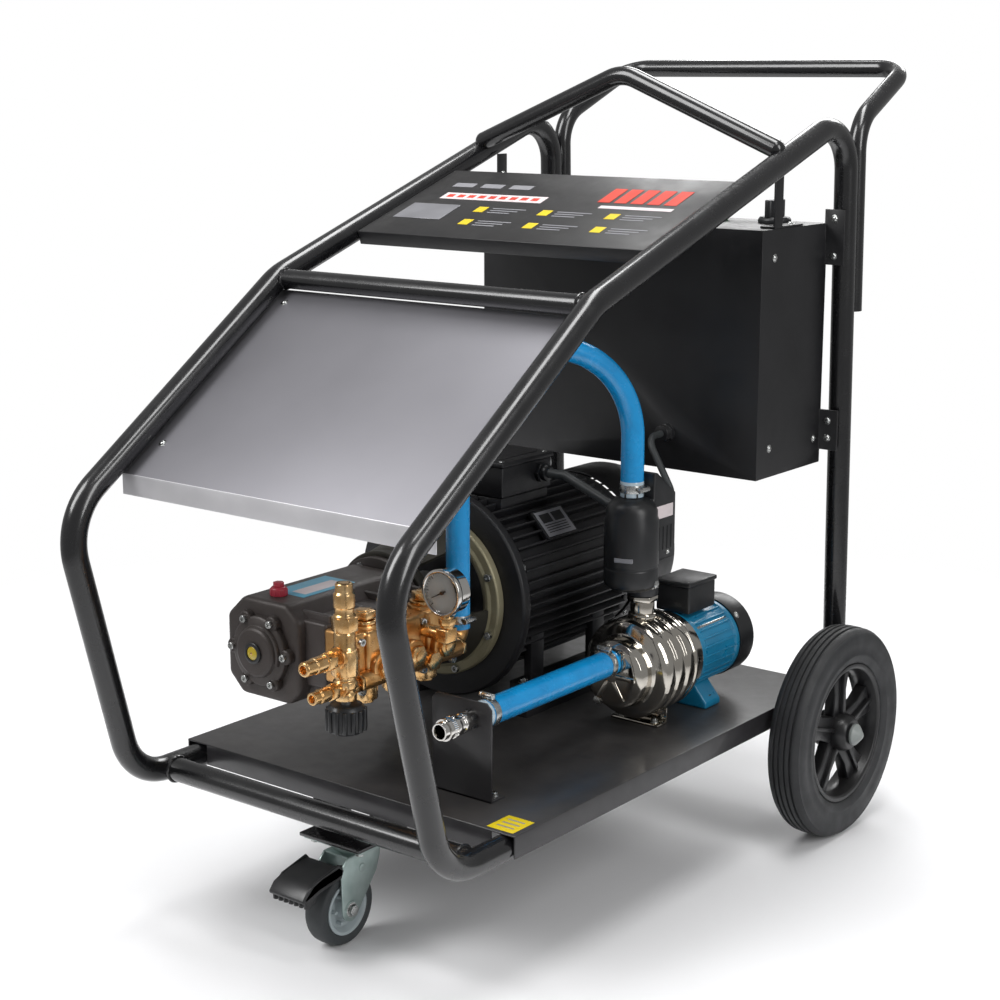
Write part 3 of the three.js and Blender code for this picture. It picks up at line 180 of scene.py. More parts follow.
class Effects:
    """The shader node groups that the materials share."""

    @staticmethod
    def _start(name: str, inputs: dict[str, float | tuple[float, float, float]], output: str
               ) -> tuple[bpy.types.NodeTree, bpy.types.Node, bpy.types.Node]:
        """Makes an empty group.

        Args:
            name: Name of the group.
            inputs: Input names and their first values.
            output: Name of its one output.

        Returns:
            The group, its input node and its output node.
        """
        group = bpy.data.node_groups.new(name, "ShaderNodeTree")
        for label, value in inputs.items():
            kind = "NodeSocketVector" if isinstance(value, tuple) else "NodeSocketFloat"
            socket = group.interface.new_socket(label, in_out="INPUT", socket_type=kind)
            socket.default_value = value
        group.interface.new_socket(output, in_out="OUTPUT", socket_type="NodeSocketFloat")
        return group, group.nodes.new("NodeGroupInput"), group.nodes.new("NodeGroupOutput")

    @staticmethod
    def _noise(group: bpy.types.NodeTree, detail: float) -> bpy.types.Node:
        """Adds a noise on object coordinates to a group.

        Args:
            group: The group that gets it.
            detail: How many finer layers the noise has.

        Returns:
            The noise node.
        """
        place = group.nodes.new("ShaderNodeTexCoord")
        noise = group.nodes.new("ShaderNodeTexNoise")
        noise.inputs["Detail"].default_value = detail
        group.links.new(place.outputs["Object"], noise.inputs["Vector"])
        return noise

    @classmethod
    def mottle(cls) -> bpy.types.NodeTree:
        """Broad cloudy variation between two values.

        Returns:
            The shared group.
        """
        name = "surface_mottle"
        if name in bpy.data.node_groups:
            return bpy.data.node_groups[name]
        group, inner, outer = cls._start(name, {"Scale": 10.0, "Low": 0.0, "High": 1.0}, "Value")
        noise = cls._noise(group, 4.0)
        spread = group.nodes.new("ShaderNodeMapRange")
        spread.inputs["From Min"].default_value = 0.3
        spread.inputs["From Max"].default_value = 0.7
        group.links.new(inner.outputs["Scale"], noise.inputs["Scale"])
        group.links.new(noise.outputs["Fac"], spread.inputs["Value"])
        group.links.new(inner.outputs["Low"], spread.inputs["To Min"])
        group.links.new(inner.outputs["High"], spread.inputs["To Max"])
        group.links.new(spread.outputs["Result"], outer.inputs["Value"])
        return group

    @classmethod
    def grain(cls) -> bpy.types.NodeTree:
        """Fine height noise, stretched along the axis that has the smallest scale.

        Returns:
            The shared group.
        """
        name = "surface_grain"
        if name in bpy.data.node_groups:
            return bpy.data.node_groups[name]
        group, inner, outer = cls._start(name, {"Stretch": (1.0, 1.0, 1.0), "Scale": 500.0}, "Height")
        noise = cls._noise(group, 2.0)
        place = noise.inputs["Vector"].links[0].from_socket
        scale = group.nodes.new("ShaderNodeVectorMath")
        scale.operation = "MULTIPLY"
        group.links.new(place, scale.inputs[0])
        group.links.new(inner.outputs["Stretch"], scale.inputs[1])
        group.links.new(scale.outputs["Vector"], noise.inputs["Vector"])
        group.links.new(inner.outputs["Scale"], noise.inputs["Scale"])
        group.links.new(noise.outputs["Fac"], outer.inputs["Height"])
        return group

    @classmethod
    def dust(cls) -> bpy.types.NodeTree:
        """A mask of the dust that settles on faces that look up.

        Returns:
            The shared group.
        """
        name = "settled_dust"
        if name in bpy.data.node_groups:
            return bpy.data.node_groups[name]
        group, inner, outer = cls._start(name, {"Amount": 0.1}, "Mask")
        noise = cls._noise(group, 6.0)
        noise.inputs["Scale"].default_value = 24.0
        shape = group.nodes.new("ShaderNodeNewGeometry")
        split = group.nodes.new("ShaderNodeSeparateXYZ")
        upward = group.nodes.new("ShaderNodeMapRange")
        upward.inputs["From Min"].default_value = 0.2
        group.links.new(shape.outputs["Normal"], split.inputs["Vector"])
        group.links.new(split.outputs["Z"], upward.inputs["Value"])
        thick = group.nodes.new("ShaderNodeMath")
        thick.operation = "MULTIPLY"
        group.links.new(noise.outputs["Fac"], thick.inputs[0])
        group.links.new(upward.outputs["Result"], thick.inputs[1])
        share = group.nodes.new("ShaderNodeMath")
        share.operation = "MULTIPLY"
        group.links.new(thick.outputs["Value"], share.inputs[0])
        group.links.new(inner.outputs["Amount"], share.inputs[1])
        group.links.new(share.outputs["Value"], outer.inputs["Mask"])
        return group


@dataclass(frozen=True)
class Finish:
    """A surface finish: two shades that drift into each other, gloss, grain and dust."""

    name: str
    slot: str
    colour: str
    shade: str
    texture: Texture
    roughness: tuple[float, float]
    metallic: float = 0.0
    coat: float = 0.0
    dust: float = 0.0
    drift: float = 14.0
    stretch: tuple[float, float, float] = (1.0, 1.0, 1.0)
    clear: float = 0.0

    def material(self) -> bpy.types.Material:
        """Builds the material the first time and finds it again after that.

        Returns:
            The material of this finish.
        """
        if self.name in bpy.data.materials:
            return bpy.data.materials[self.name]
        material = bpy.data.materials.new(self.name)
        material.use_nodes = True
        nodes, links = material.node_tree.nodes, material.node_tree.links
        shader = nodes["Principled BSDF"]
        shader.inputs["Metallic"].default_value = self.metallic
        shader.inputs["Coat Weight"].default_value = self.coat
        shader.inputs["Coat Roughness"].default_value = 0.08
        shader.inputs["Transmission Weight"].default_value = self.clear

        def effect(group: bpy.types.NodeTree,
                   **values: float | tuple[float, float, float]) -> bpy.types.NodeSocket:
            """Places a shared effect with its values and gives its output.

            Args:
                group: The shared effect.
                values: Its input names and values.

            Returns:
                The output of the placed group.
            """
            node = nodes.new("ShaderNodeGroup")
            node.node_tree = group
            for label, value in values.items():
                node.inputs[label].default_value = value
            return node.outputs[0]

        shades = nodes.new("ShaderNodeMix")
        shades.data_type = "RGBA"
        shades.inputs[6].default_value = linear(self.colour)
        shades.inputs[7].default_value = linear(self.shade)
        links.new(effect(Effects.mottle(), Scale=self.drift, Low=0.0, High=1.0), shades.inputs[0])
        dusty = nodes.new("ShaderNodeMix")
        dusty.data_type = "RGBA"
        dusty.inputs[7].default_value = linear("#8d8980")
        links.new(shades.outputs[2], dusty.inputs[6])
        links.new(effect(Effects.dust(), Amount=self.dust), dusty.inputs[0])
        links.new(dusty.outputs[2], shader.inputs["Base Color"])
        low, high = self.roughness
        links.new(effect(Effects.mottle(), Scale=self.drift * 3, Low=low, High=high),
                  shader.inputs["Roughness"])
        scale, height = self.texture.value
        bump = nodes.new("ShaderNodeBump")
        bump.inputs["Strength"].default_value = 1.0
        bump.inputs["Distance"].default_value = height / 1000
        links.new(effect(Effects.grain(), Stretch=self.stretch, Scale=scale), bump.inputs["Height"])
        links.new(bump.outputs["Normal"], shader.inputs["Normal"])
        return material


FRAME_PAINT = Finish("gloss_black_powder", "frame_paint", "#131315", "#0e0e10", Texture.POWDER_COAT,
                     (0.22, 0.30), coat=0.5, dust=0.01)
SHEET_PAINT = Finish("satin_black_powder", "sheet_paint", "#1a1a1c", "#131315", Texture.POWDER_COAT,
                     (0.36, 0.46), dust=0.05)
TRAY_PAINT = Finish("tray_black_powder", "sheet_paint", "#2c2b2d", "#232224", Texture.POWDER_COAT,
                    (0.30, 0.42), dust=0.12, coat=0.15)
MOTOR_PAINT = Finish("motor_black_paint", "motor_paint", "#1c1c1f", "#141416", Texture.CAST,
                     (0.34, 0.48), dust=0.04)
COVER_STEEL = Finish("brushed_cover_steel", "cover_steel", "#8f8e93", "#87868b", Texture.MACHINED,
                     (0.50, 0.54), metallic=0.8, drift=3.0, stretch=(0.03, 1.0, 1.0))
# The folded lip is the cover's own steel made near white: a painted highlight along the fold, not a different
# metal.
LIP_STEEL_PAINTED_HIGHLIGHT = Finish("folded_steel_painted_highlight", "cover_steel", "#e4e3e6", "#d9d8dc", Texture.MACHINED,
                   (0.42, 0.48), metallic=0.7, stretch=(0.03, 1.0, 1.0))
BOOSTER_STEEL = Finish("polished_booster_steel", "booster_steel", "#c9c5bd", "#b8b2a8", Texture.MACHINED,
                       (0.07, 0.13), metallic=1.0, stretch=(1.0, 0.2, 1.0))
MACHINED_STEEL = Finish("machined_steel", "machined_steel", "#a9abad", "#8f9193", Texture.MACHINED,
                        (0.22, 0.34), metallic=1.0)
BOLT_ZINC = Finish("bright_zinc_bolts", "machined_steel", "#c9cac8", "#adafae", Texture.MACHINED,
                   (0.20, 0.34), metallic=1.0, drift=60.0)
CASTER_ZINC = Finish("zinc_caster_steel", "caster_zinc", "#aab8b5", "#93a3a0", Texture.MACHINED,
                     (0.30, 0.42), metallic=0.85, drift=40.0)
CHROME = Finish("bright_chrome", "chrome", "#d8d6d2", "#c6c3bd", Texture.MACHINED,
                (0.05, 0.11), metallic=1.0)
BRASS = Finish("forged_head_brass", "head_brass", "#e0b27a", "#bd8648", Texture.FORGED,
               (0.26, 0.40), metallic=1.0, drift=45.0)
BRASS_TURNED = Finish("turned_valve_brass", "head_brass", "#ecc894", "#d0a064", Texture.MACHINED,
                      (0.20, 0.30), metallic=1.0, drift=60.0)
BELL_CAST = Finish("olive_bell_casting", "bell_cast", "#a49d82", "#8a8368", Texture.CAST,
                   (0.38, 0.52), metallic=0.5)
# A darker copy of the bell casting for its cone and rear ring: painted shade in the recess behind the rim.
BELL_CAST_PAINTED_SHADE = Finish("bell_casting_painted_shade", "bell_cast", "#3a372f", "#2b2924", Texture.CAST,
                   (0.45, 0.6), metallic=0.4)
PUMP_CAST = Finish("grey_brown_pump_casting", "pump_cast", "#453f3e", "#38322f", Texture.CAST,
                   (0.36, 0.5), metallic=0.25, dust=0.05)
TYRE_RUBBER = Finish("road_tyre_rubber", "tyre", "#2a2b2d", "#1f2022", Texture.RUBBER,
                     (0.5, 0.68), dust=0.05)
RIM_PLASTIC = Finish("moulded_rim_plastic", "rim_plastic", "#161618", "#0f0f11", Texture.MOULDED,
                     (0.3, 0.42), dust=0.04)
HUB_CAP = Finish("grey_wheel_cap", "rim_plastic", "#8d9290", "#7a7f7d", Texture.MOULDED, (0.3, 0.42))
CASTER_RUBBER = Finish("caster_tread_rubber", "caster_rubber", "#3a3e40", "#2d3032", Texture.RUBBER,
                       (0.55, 0.7), dust=0.05)
HUB_PLASTIC = Finish("grey_hub_plastic", "hub_plastic", "#aab4b7", "#98a3a6", Texture.MOULDED, (0.32, 0.44))
BLACK_PLASTIC = Finish("black_moulded_plastic", "black_plastic", "#1f2022", "#17181a", Texture.MOULDED,
                       (0.30, 0.42), dust=0.03)
HOSE_BLUE = Finish("blue_hose", "hose", "#0a95d6", "#0886c4", Texture.MOULDED,
                   (0.2, 0.3), coat=0.4, drift=25.0)
HOSE_END = Finish("clear_hose_end", "hose", "#b9c9d2", "#a8bcc8", Texture.MOULDED, (0.15, 0.25), coat=0.4)
BOOSTER_BLUE = Finish("booster_blue_paint", "booster_paint", "#1279a0", "#0e688c", Texture.CAST,
                      (0.26, 0.38), coat=0.25)
GLASS_YELLOW = Finish("yellow_sight_glass", "sight_glass", "#cbb62c", "#a8901f", Texture.PRINTED,
                      (0.1, 0.2), coat=0.5)
CAP_RED = Finish("red_filler_plastic", "filler_cap", "#b5394a", "#a02c3c", Texture.MOULDED, (0.3, 0.4))
START_GREEN = Finish("green_button_plastic", "start_green", "#2d9a52", "#258646", Texture.MOULDED,
                     (0.25, 0.35))
STOP_RED = Finish("red_button_plastic", "stop_red", "#b92b2b", "#a12323", Texture.MOULDED, (0.25, 0.35))
CABLE_BLACK = Finish("black_cable_rubber", "cable", "#3a3d3e", "#2b2e2f", Texture.RUBBER, (0.4, 0.55))
DIAL_WHITE = Finish("white_dial_enamel", "chrome", "#e4e4e0", "#d9dad6", Texture.PRINTED, (0.3, 0.4))
LENS_CLEAR = Finish("clear_gauge_lens", "sight_glass", "#ffffff", "#fbfdff", Texture.PRINTED,
                    (0.02, 0.03), clear=1.0)
INK_WHITE = Finish("pale_panel_ink", "sheet_paint", "#d9cfd0", "#cdc0c2", Texture.PRINTED, (0.4, 0.5))
INK_RED = Finish("orange_red_ink", "sheet_paint", "#d0402c", "#bd3322", Texture.PRINTED, (0.4, 0.5))
INK_YELLOW = Finish("yellow_ink", "sheet_paint", "#d9c21c", "#cdb412", Texture.PRINTED, (0.35, 0.45))
INK_GREY = Finish("grey_ink", "sheet_paint", "#8b8b8f", "#7b7b80", Texture.PRINTED, (0.4, 0.5))
PLATE_SILVER = Finish("silver_data_plate", "machined_steel", "#b9b9be", "#a7a7ad", Texture.MACHINED,
                      (0.3, 0.4), metallic=0.8)
LABEL_BLUE = Finish("pale_blue_label", "pump_cast", "#5fa9c4", "#4f9ab8", Texture.PRINTED, (0.3, 0.4))


# ---------------------------------------------------------------- mesh work


class Plane(Enum):
    """The plane of an outline; it is made thick along the third axis."""

    XY = Matrix(((1, 0, 0), (0, 1, 0), (0, 0, 1)))
    XZ = Matrix(((1, 0, 0), (0, 0, 1), (0, 1, 0)))
    YZ = Matrix(((0, 0, 1), (1, 0, 0), (0, 1, 0)))


class Form:
    """A mesh that grows shape by shape; each shape is closed and takes the finish in use."""

    def __init__(self, name: str, finish: Finish, place: Matrix | None = None) -> None:
        """Starts an empty form.

        Args:
            name: Name of the piece that it becomes.
            finish: The first finish in use.
            place: Where its shapes stand, if they are drawn in axes of their own.
        """
        self.name = name
        self.place = place or Matrix.Identity(4)
        self.mesh = bmesh.new()
        self.finishes = [finish]
        self.current = 0

    def use(self, finish: Finish) -> "Form":
        """Takes another finish for the shapes that follow.

        Args:
            finish: The finish from here on.

        Returns:
            This form.
        """
        if finish not in self.finishes:
            self.finishes.append(finish)
        self.current = self.finishes.index(finish)
        return self

    def take(self, part: bmesh.types.BMesh, matrix: Matrix, ease: float = 0.0, steps: int = 2,
             angle: float = 30.0) -> "Form":
        """Cleans a shape, rounds its sharp edges, and adds it to the form.

        Args:
            part: The shape, in its own axes. It is used up.
            matrix: Where the shape goes.
            ease: Width of the rounding on sharp edges, or 0 for none.
            steps: Segments of the rounding.
            angle: Edges that turn more than this many degrees are sharp.

        Returns:
            The form.
        """
        bmesh.ops.remove_doubles(part, verts=part.verts, dist=1e-4)
        bmesh.ops.recalc_face_normals(part, faces=part.faces)
        if ease:
            sharp = [e for e in part.edges if e.is_manifold and e.calc_face_angle(0) > math.radians(angle)]
            bmesh.ops.bevel(part, geom=sharp, offset=ease, offset_type="OFFSET", segments=steps,
                            profile=0.5, affect="EDGES", material=-1, clamp_overlap=True)
        bmesh.ops.transform(part, matrix=self.place @ matrix, verts=part.verts)
        for face in part.faces:
            face.material_index = self.current
        carrier = bpy.data.meshes.new("carrier")
        part.to_mesh(carrier)
        part.free()
        self.mesh.from_mesh(carrier)
        bpy.data.meshes.remove(carrier)
        return self

    def block(self, low: Point, high: Point, ease: float = 1.0, matrix: Matrix | None = None,
              steps: int = 2) -> "Form":
        """Adds a box with rounded edges between two corners.

        Args:
            low: One corner.
            high: The opposite corner.
            ease: Width of the rounded edges.
            matrix: Where the box is turned and moved to.
            steps: Facets over each rounded edge.

        Returns:
            This form.
        """
        low, high = Vector(low), Vector(high)
        part = bmesh.new()
        size = Matrix.Diagonal((*(high - low), 1))
        bmesh.ops.create_cube(part, size=1.0, matrix=Matrix.Translation((low + high) / 2) @ size)
        return self.take(part, matrix or Matrix.Identity(4), ease, steps)

    def rod(self, radius: float, length: float, at: Point, toward: Vector = UP, sides: int = 32,
            ease: float = 0.6, tip: float | None = None) -> "Form":
        """Adds a cylinder, cone or prism that starts at a point and runs along a direction.

        Args:
            radius: Radius where it starts.
            length: How long it is.
            at: Where it starts.
            toward: Where it runs to.
            sides: Number of sides, 6 for a hexagon.
            ease: Rounding of its sharp edges.
            tip: Radius where it ends, if that differs.

        Returns:
            The form.
        """
        part = bmesh.new()
        end = radius if tip is None else tip
        bmesh.ops.create_cone(part, cap_ends=True, segments=sides, radius1=radius, radius2=end,
                              depth=length, matrix=Matrix.Translation((0, 0, length / 2)))
        return self.take(part, aim(at, toward), ease)

    def lathe(self, profile: Sequence[tuple[float, float]], at: Point, toward: Vector = UP, steps: int = 48,
              ease: float = 0.0, turn: float = 360.0, first: float = 0.0) -> "Form":
        """Turns a profile of (radius, height) points about an axis.

        Args:
            profile: The points. It starts and ends on the axis, or it is a closed ring.
            at: The point of the axis where height is 0.
            toward: Direction of the axis.
            steps: Segments of the turn.
            ease: Rounding of its sharp edges.
            turn: Degrees to turn, less than 360 for a closed sector.
            first: Angle where it starts, in degrees.

        Returns:
            The form.
        """
        part = bmesh.new()
        verts = [part.verts.new((r, 0, h)) for r, h in profile]
        edges = [part.edges.new(pair) for pair in zip(verts, verts[1:])]
        ring = profile[0][0] > 0 and profile[-1][0] > 0
        if ring:
            edges.append(part.edges.new((verts[-1], verts[0])))
        whole = turn >= 360
        bmesh.ops.spin(part, geom=verts + edges, cent=(0, 0, 0), axis=(0, 0, 1), angle=math.radians(turn),
                       steps=steps, use_merge=whole)
        if not whole:
            bmesh.ops.holes_fill(part, edges=[e for e in part.edges if e.is_boundary], sides=0)
        return self.take(part, aim(at, toward) @ Matrix.Rotation(math.radians(first), 4, "Z"), ease)

    def plate(self, plane: Plane, outline: Sequence[tuple[float, float]], start: float, end: float,
              ease: float = 1.0, matrix: Matrix | None = None, steps: int = 2) -> "Form":
        """Makes an outline thick along the axis square to its plane.

        Args:
            plane: The plane of the outline.
            outline: Its corners.
            start: Where the thickness starts.
            end: Where it ends.
            ease: Rounding of its sharp edges.
            matrix: A turn or move, if any.
            steps: Segments of the rounding.

        Returns:
            The form.
        """
        part = bmesh.new()
        face = part.faces.new([part.verts.new((a, b, start)) for a, b in outline])
        grown = bmesh.ops.extrude_face_region(part, geom=[face])["geom"]
        moved = [v for v in grown if isinstance(v, bmesh.types.BMVert)]
        bmesh.ops.translate(part, verts=moved, vec=(0, 0, end - start))
        bmesh.ops.transform(part, matrix=plane.value.to_4x4(), verts=part.verts)
        return self.take(part, matrix or Matrix.Identity(4), ease, steps)

    def tube(self, corners: Sequence[Point], bends: Sequence[float], radius: float, sides: int = 28,
             steps: int = 12) -> "Form":
        """Bends a round tube through corners, with a bend radius at each inner one.

        Args:
            corners: The corners of its centre line.
            bends: Bend radius at each inner corner.
            radius: Outer radius.
            sides: Facets around it.
            steps: Rings in each bend.

        Returns:
            This form.
        """
        points = [Vector(c) for c in corners]
        toward = (points[1] - points[0]).normalized()
        part = bmesh.new()
        bmesh.ops.create_circle(part, segments=sides, radius=radius, matrix=aim(points[0], toward))
        edges, here = list(part.edges), points[0]

        def push(ring: Iterable[bmesh.types.BMEdge], step: Vector) -> list[bmesh.types.BMEdge]:
            """Draws the end ring straight on by a step and gives the new ring.

            Args:
                ring: The open edges of the end.
                step: How far it goes, as a vector.

            Returns:
                The edges of the new end.
            """
            grown = bmesh.ops.extrude_edge_only(part, edges=list(ring))["geom"]
            verts = {g for g in grown if isinstance(g, bmesh.types.BMVert)}
            bmesh.ops.translate(part, verts=list(verts), vec=step)
            return [e for v in verts for e in v.link_edges if e.other_vert(v) in verts and e.verts[0] == v]

        for corner, after, bend in zip(points[1:-1], points[2:], bends):
            out = (after - corner).normalized()
            angle = toward.angle(out)
            reach = bend * math.tan(angle / 2)
            start = corner - toward * reach
            edges = push(edges, start - here)
            axis = toward.cross(out).normalized()
            spun = bmesh.ops.spin(part, geom=edges, cent=start + axis.cross(toward) * bend, axis=axis,
                                  angle=angle, steps=steps)
            edges = [g for g in spun["geom_last"] if isinstance(g, bmesh.types.BMEdge)]
            here, toward = corner + out * reach, out
        push(edges, points[-1] - here)
        bmesh.ops.holes_fill(part, edges=[e for e in part.edges if e.is_boundary], sides=0)
        return self.take(part, Matrix.Identity(4))

    def blob(self, centre: Point, size: Point, matrix: Matrix | None = None) -> "Form":
        """Adds an ellipsoid, such as a short weld.

        Args:
            centre: Its middle.
            size: Its three radii.
            matrix: How it is turned.

        Returns:
            This form.
        """
        part = bmesh.new()
        bmesh.ops.create_uvsphere(part, u_segments=14, v_segments=10, radius=1.0,
                                  matrix=Matrix.Translation(Vector(centre)) @ (matrix or Matrix.Identity(4))
                                  @ Matrix.Diagonal((*size, 1)))
        return self.take(part, Matrix.Identity(4))

    def weld(self, radius: float, at: Point, toward: Vector, bead: float = 2.0) -> "Form":
        """Adds a round weld bead of a radius about an axis.

        Args:
            radius: Radius of the ring.
            at: Its middle.
            toward: Its axis.
            bead: Radius of the bead.

        Returns:
            This form.
        """
        ring = arc(radius, 0, bead, 0, 315, 7)
        return self.lathe(ring, at, toward, 40)

    def hex_bolt(self, at: Point, toward: Vector, radius: float = 6.0, head: float = 4.5) -> "Form":
        """Adds a hexagon bolt head on its washer.

        Args:
            at: Where the washer lies.
            toward: The way out.
            radius: Over the corners.
            head: Height of the head.

        Returns:
            This form.
        """
        self.rod(radius * 1.25, 1.2, at, toward, 24, 0.3)
        self.rod(radius, head, Vector(at) + 1.2 * Vector(toward), toward, 6, 0.5)
        return self.rod(radius * 0.62, 0.8, Vector(at) + (1.0 + head) * Vector(toward), toward, 16, 0.2)

    def socket_bolt(self, at: Point, toward: Vector, radius: float = 5.0, head: float = 5.0) -> "Form":
        """Adds a socket cap screw with its recess.

        Args:
            at: Where the head sits.
            toward: The way out.
            radius: Radius of the head.
            head: Height of the head.

        Returns:
            This form.
        """
        well = [(0, head - 2.5), (radius * 0.5, head - 2.5), (radius * 0.5, head), (radius - 0.5, head)]
        return self.lathe([*well, (radius, head - 0.6), (radius, 0), (0, 0)], at, toward, 20)

    def pan_screw(self, at: Point, toward: Vector, radius: float = 4.5) -> "Form":
        """Adds a domed screw head with a washer ring.

        Args:
            at: Where the washer lies.
            toward: The way out.
            radius: Radius of the head.

        Returns:
            This form.
        """
        self.rod(radius * 1.3, 0.7, at, toward, 20, 0.2)
        dome = [(0, 3.0), (radius * 0.5, 2.8), (radius * 0.85, 2.0), (radius, 0.6), (radius, 0.2), (0, 0.2)]
        return self.lathe(dome, at, toward, 18)

    def clamp(self, at: Point, toward: Vector, radius: float, screw: Vector, width: float = 11.0) -> "Form":
        """Adds a worm-drive hose clamp with its screw housing on one side.

        Args:
            at: Middle of the band.
            toward: Axis of the hose.
            radius: Radius of the hose.
            screw: The side that its screw is on.
            width: Width of the band.

        Returns:
            This form.
        """
        band = [(radius - 0.4, 0), (radius + 1.1, 0), (radius + 1.1, width), (radius - 0.4, width)]
        self.lathe(band, at, toward, 40, 0.25)
        middle = Vector(at) + Vector(toward) * width / 2 + Vector(screw) * (radius + 4)
        across = Vector(toward).cross(screw).normalized()
        self.rod(4.2, 17, middle - across * 8, across, 16, 0.5)
        return self.rod(4.4, 4, middle - across * 12, across, 6, 0.4)

    def node(self, name: str, ease: float = 0.5, angle: float = 32.0) -> "Form":
        """Adds a merged copy of a node of the frame, with its sharp edges rounded.

        Args:
            name: The node.
            ease: Width of the rounded edges.
            angle: Edges sharper than this are rounded.

        Returns:
            This form.
        """
        part = bmesh.new()
        part.from_mesh(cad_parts[name].data)
        bmesh.ops.transform(part, matrix=TO_FRAME.inverted(), verts=part.verts)
        bmesh.ops.remove_doubles(part, verts=part.verts, dist=1e-3)
        bmesh.ops.dissolve_limit(part, angle_limit=math.radians(2), verts=part.verts, edges=part.edges)
        return self.take(part, self.place.inverted(), ease, 2, angle)

    def piece(self, body: str, *nodes: str, smooth: float = 38.0) -> bpy.types.Object:
        """Makes the object, rides it on a body and lets it stand for nodes of the frame.

        Args:
            body: The body that it moves with.
            nodes: The nodes of the frame that it replaces.
            smooth: Edges that turn less than this many degrees are shaded smooth.

        Returns:
            The object.
        """
        bmesh.ops.transform(self.mesh, matrix=TO_FRAME, verts=self.mesh.verts)
        mesh = bpy.data.meshes.new(self.name)
        self.mesh.to_mesh(mesh)
        self.mesh.free()
        for finish in self.finishes:
            mesh.materials.append(finish.material())
        mesh.polygons.foreach_set("use_smooth", [True] * len(mesh.polygons))
        mesh.set_sharp_from_angle(angle=math.radians(smooth))
        obj = bpy.data.objects.new(self.name, mesh)
        bpy.context.scene.collection.objects.link(obj)
        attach(obj, body)
        if nodes:
            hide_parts(*nodes)
        log.info("%s: %d faces on %s", self.name, len(mesh.polygons), body)
        return obj


# ---------------------------------------------------------------- the cart


@dataclass
class TubeFrame:
    """The welded frame: two bent hoops, cross tubes, lifting arch and push handle."""

    hoop_x: float = 265.0
    rail_z: float = 196.0
    foot_y: float = -942.0
    nose: tuple[float, float] = (-1035.0, 567.0)
    knee: tuple[float, float] = (-648.0, 838.0)
    top: tuple[float, float] = (-22.0, 1056.3)
    hoop_bends: tuple[float, ...] = (75.0, 90.0, 110.0, 60.0)
    small_r: float = 13.45
    arch_y: float = -205.0
    arch_top: float = 1112.0
    arch_foot: float = 1006.0
    cross_y: float = -880.0
    handle_low: float = 768.0
    handle_bend: float = 1040.0
    handle_bar: tuple[float, float, float] = (253.0, 179.0, 1118.0)
    handle_bends: tuple[float, ...] = (62.0, 46.0, 46.0, 62.0)
    wheel_y: float = -94.0
    wheel_r: float = 157.5

    def hoop(self, side: int) -> None:
        """Builds the left (-1) or right (1) hoop with its axle bracket and welds.

        Args:
            side: -1 for the left hoop, 1 for the right.
        """
        x = side * self.hoop_x
        name = "left_side_hoop" if side < 0 else "right_side_hoop"
        form = Form(f"{name}_tube", FRAME_PAINT)
        low = self.rail_z - TUBE_R
        form.tube([(x, -TUBE_R / 2, self.rail_z), (x, self.foot_y, self.rail_z), (x, *self.nose),
                   (x, *self.knee), (x, *self.top), (x, 0, low)], self.hoop_bends, TUBE_R, 32, 16)
        form.weld(TUBE_R, (x, -TUBE_R, self.rail_z), FRONT, 2.4)
        cheek = [*arc(self.wheel_y, self.wheel_r, 19, 180, 360, 12), (self.wheel_y + 34, self.rail_z - 10),
                 (self.wheel_y - 34, self.rail_z - 10)]
        form.plate(Plane.YZ, cheek, x - 7, x + 7, 1.2)
        form.piece("cart", name)

    def cross_tubes(self) -> None:
        """Builds the tubes that join the hoops at the front foot and at the knee."""
        reach = self.hoop_x - 6
        low = Form("front_cross_tube_coped", FRAME_PAINT)
        low.tube([(side * reach, self.cross_y, self.rail_z) for side in (-1, 1)], [], TUBE_R - 0.5, 32)
        high = Form("panel_cross_tube_coped", FRAME_PAINT)
        middle = Span.of("panel_cross_tube").centre
        high.tube([(-reach, middle.y, middle.z), (reach, middle.y, middle.z)], [], self.small_r, 28)
        for side in (-1, 1):
            low.weld(TUBE_R, (side * (self.hoop_x - TUBE_R), self.cross_y, self.rail_z), RIGHT, 2.2)
            high.weld(self.small_r, (side * (self.hoop_x - TUBE_R), middle.y, middle.z), RIGHT, 2.0)
        low.piece("cart", "front_cross_tube")
        high.piece("cart", "panel_cross_tube")

    def arch(self) -> None:
        """Builds the roof-shaped lifting arch between the slopes of the hoops."""
        slope = (Vector((0, 0, self.arch_top)) - Vector((self.hoop_x, 0, self.arch_foot))).normalized()
        feet = [Vector((side * self.hoop_x, self.arch_y, self.arch_foot)) for side in (-1, 1)]
        inward = [Vector((-slope.x, 0, slope.z)), Vector((slope.x, 0, slope.z))]
        form = Form("lifting_arch_tube", FRAME_PAINT)
        form.tube([feet[0] + inward[0] * 9, (0, self.arch_y, self.arch_top), feet[1] + inward[1] * 9],
                  [60], self.small_r, 28, 12)
        for foot, way in zip(feet, inward):
            form.blob(foot + way * 11, (self.small_r, self.small_r, self.small_r))
        form.piece("cart", "lifting_arch")

    def handle(self) -> None:
        """Builds the push handle, welded to the rear legs of the hoops."""
        low, bend_z, x, bar = self.handle_low, self.handle_bend, self.hoop_x, self.handle_bar

        def leg_y(z: float) -> float:
            """How far back the handle's leg lies behind the leaning hoop, at a height.

            Args:
                z: The height.

            Returns:
                Its distance behind the rear legs' line.
            """
            lean = (self.top[1] - z) / (self.top[1] - self.rail_z + TUBE_R)
            return self.top[0] * (1 - lean) + TUBE_R + self.small_r + 0.6

        form = Form("push_handle_tube", FRAME_PAINT)
        form.tube([(x, leg_y(low), low), (x, leg_y(bend_z), bend_z), bar, (-bar[0], *bar[1:]),
                   (-x, leg_y(bend_z), bend_z), (-x, leg_y(low), low)], self.handle_bends,
                  self.small_r, 28, 14)
        for side in (-1, 1):
            for height in (low + 22, low + 120, bend_z - 60):
                contact = Vector((side * x, leg_y(height) - self.small_r - 0.6, height))
                for shift in (-7, 7):
                    form.blob(contact + Vector((shift, 1.2, 0)), (3.2, 3.2, 16))
        form.piece("cart", "push_handle")

